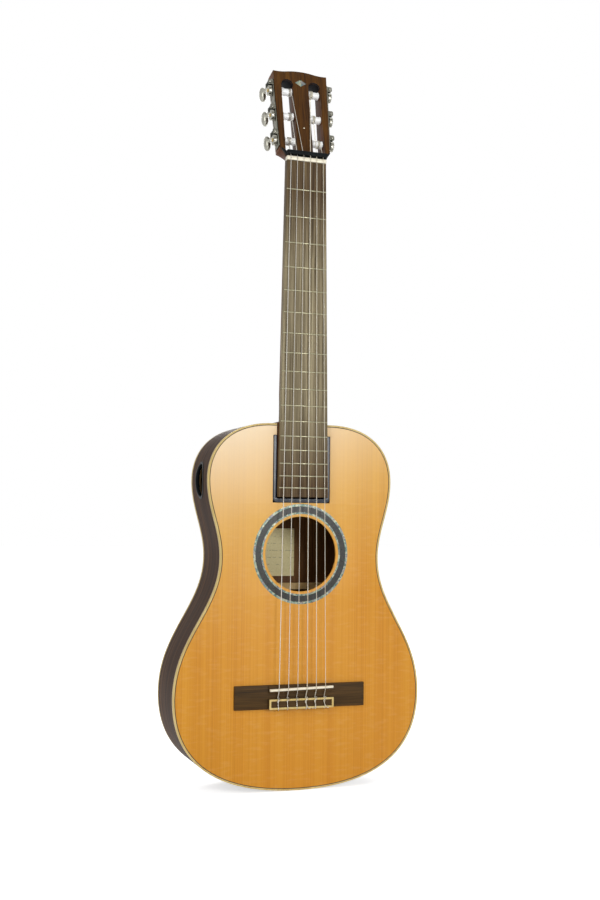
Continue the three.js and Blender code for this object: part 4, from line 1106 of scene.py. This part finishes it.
def make_gear(m, side, row, number):
    root, tip = GEAR_RADIUS - TOOTH_HEIGHT, GEAR_RADIUS
    loop = []
    for k in range(GEAR_TEETH):
        for share, radius in ((0.0, root), (0.22, root), (0.36, tip), (0.64, tip), (0.78, root)):
            t = 2 * pi * (k + share) / GEAR_TEETH
            loop.append((radius * cos(t), radius * sin(t)))
    near = GEAR_MIDDLE - GEAR_THICKNESS / 2
    disc = plate([loop], near, near + GEAR_THICKNESS, 0.35)
    head = near + GEAR_THICKNESS
    screw = lathe([(2.4, head - 0.1), (2.4, head + 0.5), (1.9, head + 1.0),
                   (0.9, head + 1.2), (0.02, head + 1.2)], 20)
    axis = roller_axis(side, row)
    publish(f"gear_wheel_{number}", *placed(disc, axis), m["nickel"], f"tuner_roller_{number}", "nickel",
            [f"roller_gear_{number}"])
    publish(f"gear_screw_{number}", *placed(screw, axis), m["brass"], f"tuner_roller_{number}", "nickel")


def worm_shape():
    """A worm with one thread: its radius rises and falls with angle and height together."""
    low, high = -ROLLER_DEPTH - WORM_HALF, -ROLLER_DEPTH + WORM_HALF
    rings = []
    for i in range(41):
        h = low + (high - low) * i / 40
        edge = min(1.0, min(h - low, high - h) / (0.8) + 0.05)
        ring = []
        for t in around(24):
            wave = 0.5 + 0.5 * cos(t - 2 * pi * h / THREAD_PITCH)
            r = WORM_RADIUS - THREAD_DEPTH * (1 - wave ** 0.7 * edge)
            ring.append((r * cos(t), r * sin(t), h))
        rings.append(ring)
    return shape(rings)


def knob_shape():
    """A flat oval button with a softly rounded rim."""
    rings = []
    for i in range(17):
        v = -pi / 2 + pi * i / 16
        level = sin(v)
        round_off = max(abs(cos(v)), 0.02) ** 0.72
        ring = []
        for t in around(32):
            ring.append((BUTTON_HALF.x * level, BUTTON_HALF.y * round_off * cos(t),
                         -KEY_REACH + BUTTON_HALF.z * round_off * sin(t)))
        rings.append(ring)
    return shape(rings)


def make_key(m, side, row, number):
    front = -ROLLER_DEPTH + WORM_HALF
    shaft = lathe([(1.2, -KEY_REACH), (1.5, -KEY_REACH + 6), (2.4, -KEY_REACH + 6.4),
                   (2.4, -KEY_REACH + 8), (1.8, -KEY_REACH + 8.8), (1.5, -KEY_REACH + 9.6),
                   (1.5, -14.4), (2.2, -14.1), (2.2, -13.4), (1.5, -13.2),
                   (1.5, front + 2.2), (1.1, front + 2.5)], 20)
    axis = key_axis(side, row)
    publish(f"key_shaft_{number}", *placed(shaft, axis), m["nickel"], f"tuner_key_{number}", "nickel",
            [f"tuner_key_{number}"], 45)
    publish(f"key_worm_{number}", *placed(worm_shape(), axis), m["steel"], f"tuner_key_{number}", "nickel",
            sharp=45)
    publish(f"key_button_{number}", *placed(knob_shape(), axis), m["nickel"], f"tuner_key_{number}", "nickel")


def make_tuner_plate(m, side, name):
    low, high = tuner_height(0) - 10, tuner_height(2) + WORM_OFFSET + 6
    middle = -ROLLER_DEPTH - 1
    loop = round_box(middle - 6.5, middle + 6.5, low, high, 3)
    sheet = plate([loop], FIT, FIT + 1.4, 0.3)
    lay = Matrix(((0, 0, 1, 0), (0, 1, 0, 0), (1, 0, 0, 0), (0, 0, 0, 1)))
    solids = [placed(sheet, lay)]
    for row in range(3):
        centre = tuner_height(row) + WORM_OFFSET
        for near in (-ROLLER_DEPTH + 4.3, -ROLLER_DEPTH - 5.9):
            lug = round_box(FIT, GEAR_MIDDLE + 2.6, centre - 3.3, centre + 3.3, 1.6)
            solids.append(plate([lug, circle(1.75, 20, GEAR_MIDDLE, centre)], near, near + 1.6, 0.2))
    publish(f"{name}_nickel", *placed(together(*solids), side_frame(side)), m["plate"], "neck", "nickel",
            [name])
    for row in range(4):
        u = low + 4 if row == 0 else tuner_height(row - 1) + WORM_OFFSET + (11 if row < 3 else 3.6)
        screw = lathe([(1.7, FIT + 1.3), (1.7, FIT + 1.6), (1.1, FIT + 2.1),
                       (0.02, FIT + 2.2)], 16)
        place = side_frame(side) @ Matrix.Translation((0, u, middle - 4)) @ Matrix.Rotation(pi / 2, 4, "Y")
        publish(f"{name}_screw_{row + 1}", *placed(screw, place), m["nickel"], "neck", "nickel")


# ---------------- the strings
TIE_Y = FACE_Y - FIT - 4.9
WINDING_TURNS = 3.3
WINDING_STEPS = 96
WINDING_PITCH = 2.15  # of the string's radius


def head_point(x, u, rise):
    return HEAD_FRAME @ Vector((x, u, rise))


def straight(start, end, step):
    start, end = Vector(start), Vector(end)
    count = max(1, round((end - start).length / step))
    return [start.lerp(end, k / count) for k in range(count)]


def make_string(m, line):
    """One string from the tie block over saddle and nut to its roller, with its loop and its turns."""
    r, number = line["radius"], line["number"]
    tie_front = BRIDGE_LOW.z + 12.6
    saddle_z = SADDLE_Z + SADDLE_SLANT * (line["tie_x"] / (2 * TRIM_HIGH.x)) - 0.6
    saddle = (line["tie_x"], SADDLE_LOW.y - r, saddle_z)
    nut_y = NUT_LOW.y - r * 0.4
    nut = (line["nut_x"], nut_y, NUT_Z + 1.5)
    nut_back = (line["nut_x"], nut_y + 0.1, NUT_HIGH.z - 0.5)
    end = head_point(line["wrap_x"], line["u"], ROLLER_RADIUS + r - ROLLER_DEPTH - 0.3)
    corners = [(line["tie_x"], TIE_Y, tie_front - 2), (line["tie_x"], TIE_Y, tie_front), saddle, nut,
               nut_back, end]
    path = []
    for a, b in zip(corners, corners[1:]):
        path += straight(a, b, 12)
    path.append(Vector(corners[-1]))
    look, slot = (m["wound"], "wound_string") if number > 3 else (m["nylon"], "nylon_string")
    piece = publish(f"string_run_{number}", *tube(path, r, 10), look, "body", slot, [f"string_{number}"],
                    free=True)
    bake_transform(piece)
    make_tie(line, look, slot)
    make_winding(line, look, slot)


def make_tie(line, look, slot):
    """Out of the block's back, up over its face, under itself at the front edge, and a short tail."""
    r, x, number = line["radius"], line["tie_x"], line["number"]
    top_y = TRIM_LOW.y - r - 0.05
    back_z, front_z = BRIDGE_LOW.z - r - 0.4, BRIDGE_LOW.z + 12.4 + r + 0.3
    lean = -0.7
    knots = [(x, TIE_Y, BRIDGE_LOW.z + 1), (x, TIE_Y, back_z), (x, (TIE_Y + top_y) / 2, back_z),
             (x + 0.2 * lean, top_y, back_z + 1.2), (x + lean, top_y, (back_z + front_z) / 2),
             (x + lean, top_y, front_z - 1.0), (x + lean, TIE_Y - 1.2, front_z + 0.2),
             (x + r, TIE_Y - 2.4 * r, front_z + 0.3), (x + 1.6, TIE_Y - 1.4, front_z),
             (x + 1.3, top_y, front_z - 1.4), (x - 0.6, top_y - 1.8 * r, front_z - 2.8),
             (x - 1.9, top_y - 0.4 * r, front_z - 4)]
    if number < 4:
        swing = 1 if number != 2 else -1
        knots += [(x - 1.2, top_y - 1.9 * r, front_z - 7), (x + 1.5 * swing, top_y - r, back_z + 2),
                  (x + 4.5 * swing, top_y - 0.2 * r, back_z + 0.8)]
    publish(f"string_tie_{number}", *tube(smooth_path(knots, 6), r, 8), look, "body", slot)


def smooth_path(knots, steps):
    """A rounded line through the knots (Catmull-Rom)."""
    p = [np.array(k, float) for k in knots]
    p = [2 * p[0] - p[1]] + p + [2 * p[-1] - p[-2]]
    path = []
    for a, b, c, d in zip(p, p[1:], p[2:], p[3:]):
        for k in range(steps):
            t = k / steps
            path.append(0.5 * (2 * b + (c - a) * t + (2 * a - 5 * b + 4 * c - d) * t ** 2
                               + (3 * b - a - 3 * c + d) * t ** 3))
    return path + [p[-2]]


def make_winding(line, look, slot):
    """Turns of string round the roller, close together, starting where the string arrives."""
    side, row, r = line["side"], line["row"], line["radius"]
    radius = ROLLER_RADIUS - 0.5 + r
    arrive = side * line["wrap_x"] - SLOT_MIDDLE
    along = -1 if arrive > 0 else 1
    path = []
    for k in range(WINDING_STEPS + 1):
        t = pi / 2 - 2 * pi * WINDING_TURNS * k / WINDING_STEPS
        x = arrive + along * WINDING_PITCH * r * WINDING_TURNS * k / WINDING_STEPS
        local = Vector((-slot_inset(row) + x, tuner_height(row) + radius * cos(t),
                        -ROLLER_DEPTH + radius * sin(t)))
        path.append(side_frame(side) @ local)
    number = line["number"]
    publish(f"string_turns_{number}", *tube(path, r, 8), look, f"tuner_roller_{number}", slot)


# ---------------- the lock
def make_lock(m):
    low, high = box("latch_housing")
    z = (low.z + high.z) / 2
    rim = high.x
    flange = [(9.3, BACK_Y - 6), (rim - 0.1, BACK_Y + 0.1), (rim, BACK_Y + 0.5),
              (rim - 0.6, high.y), (9.8, high.y), (9.3, high.y - 0.4)]
    along_y = Matrix.Translation((0, 0, z)) @ Matrix.Rotation(-pi / 2, 4, "X")
    publish("latch_collar", *placed(lathe(flange, 40, closed=True), along_y), m["nickel"], "body", "nickel",
            ["latch_housing"], 45)
    b_low, b_high = box("latch_button")
    cap = [(0.02, BACK_Y - 5), (8.9, BACK_Y - 5), (9, BACK_Y + 0.2),
           (8.5, b_high.y - 0.1), (7, b_high.y), (3, b_high.y - 0.5),
           (0.02, b_high.y - 0.6)]
    stem = [(3, b_low.y), (3, BACK_Y - 4.5)]
    solid = together(lathe(cap, 40), lathe(stem, 20))
    publish("latch_cap", *placed(solid, along_y), m["black"], "latch_button", "nickel", ["latch_button"], 40)


def dress_inner_parts(m):
    """CAD pieces whose shape is right as it is get their wood and a broken edge."""
    looks = {"neck_block": "block", "tail_block": "block", "tail_strip": "cream", "sound_hole_label": "paper"}
    for name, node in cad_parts.items():
        if node.hide_render:
            continue
        node.data.materials.clear()
        node.data.materials.append(m[looks.get(name, "spruce")])
        if looks.get(name) != "paper":
            edge = node.modifiers.new("broken_edge", "BEVEL")
            edge.width = 0.3 * MM
            edge.segments = 2
            edge.limit_method = "ANGLE"
            edge.angle_limit = radians(50)


def main():
    make_camera()
    make_world()
    for lamp in LAMPS:
        make_lamp(*lamp)
    make_floor()
    m = build_materials()
    for make in (make_plates, make_bindings, make_sides, make_port_ring, make_rosette, make_bezel,
                 make_bridge, make_saddle, make_neck, make_head, make_fretboard, make_nut, make_keeper):
        make(m)
    make_tuner_plate(m, -1, "tuner_plate_bass")
    make_tuner_plate(m, 1, "tuner_plate_treble")
    for i, (side, row) in enumerate(TUNERS):
        for make in (make_roller, make_gear, make_key):
            make(m, side, row, 6 - i)
    for line in string_lines():
        make_string(m, line)
    make_lock(m)
    dress_inner_parts(m)


main()
bpy.context.scene.view_settings.view_transform = "Standard"
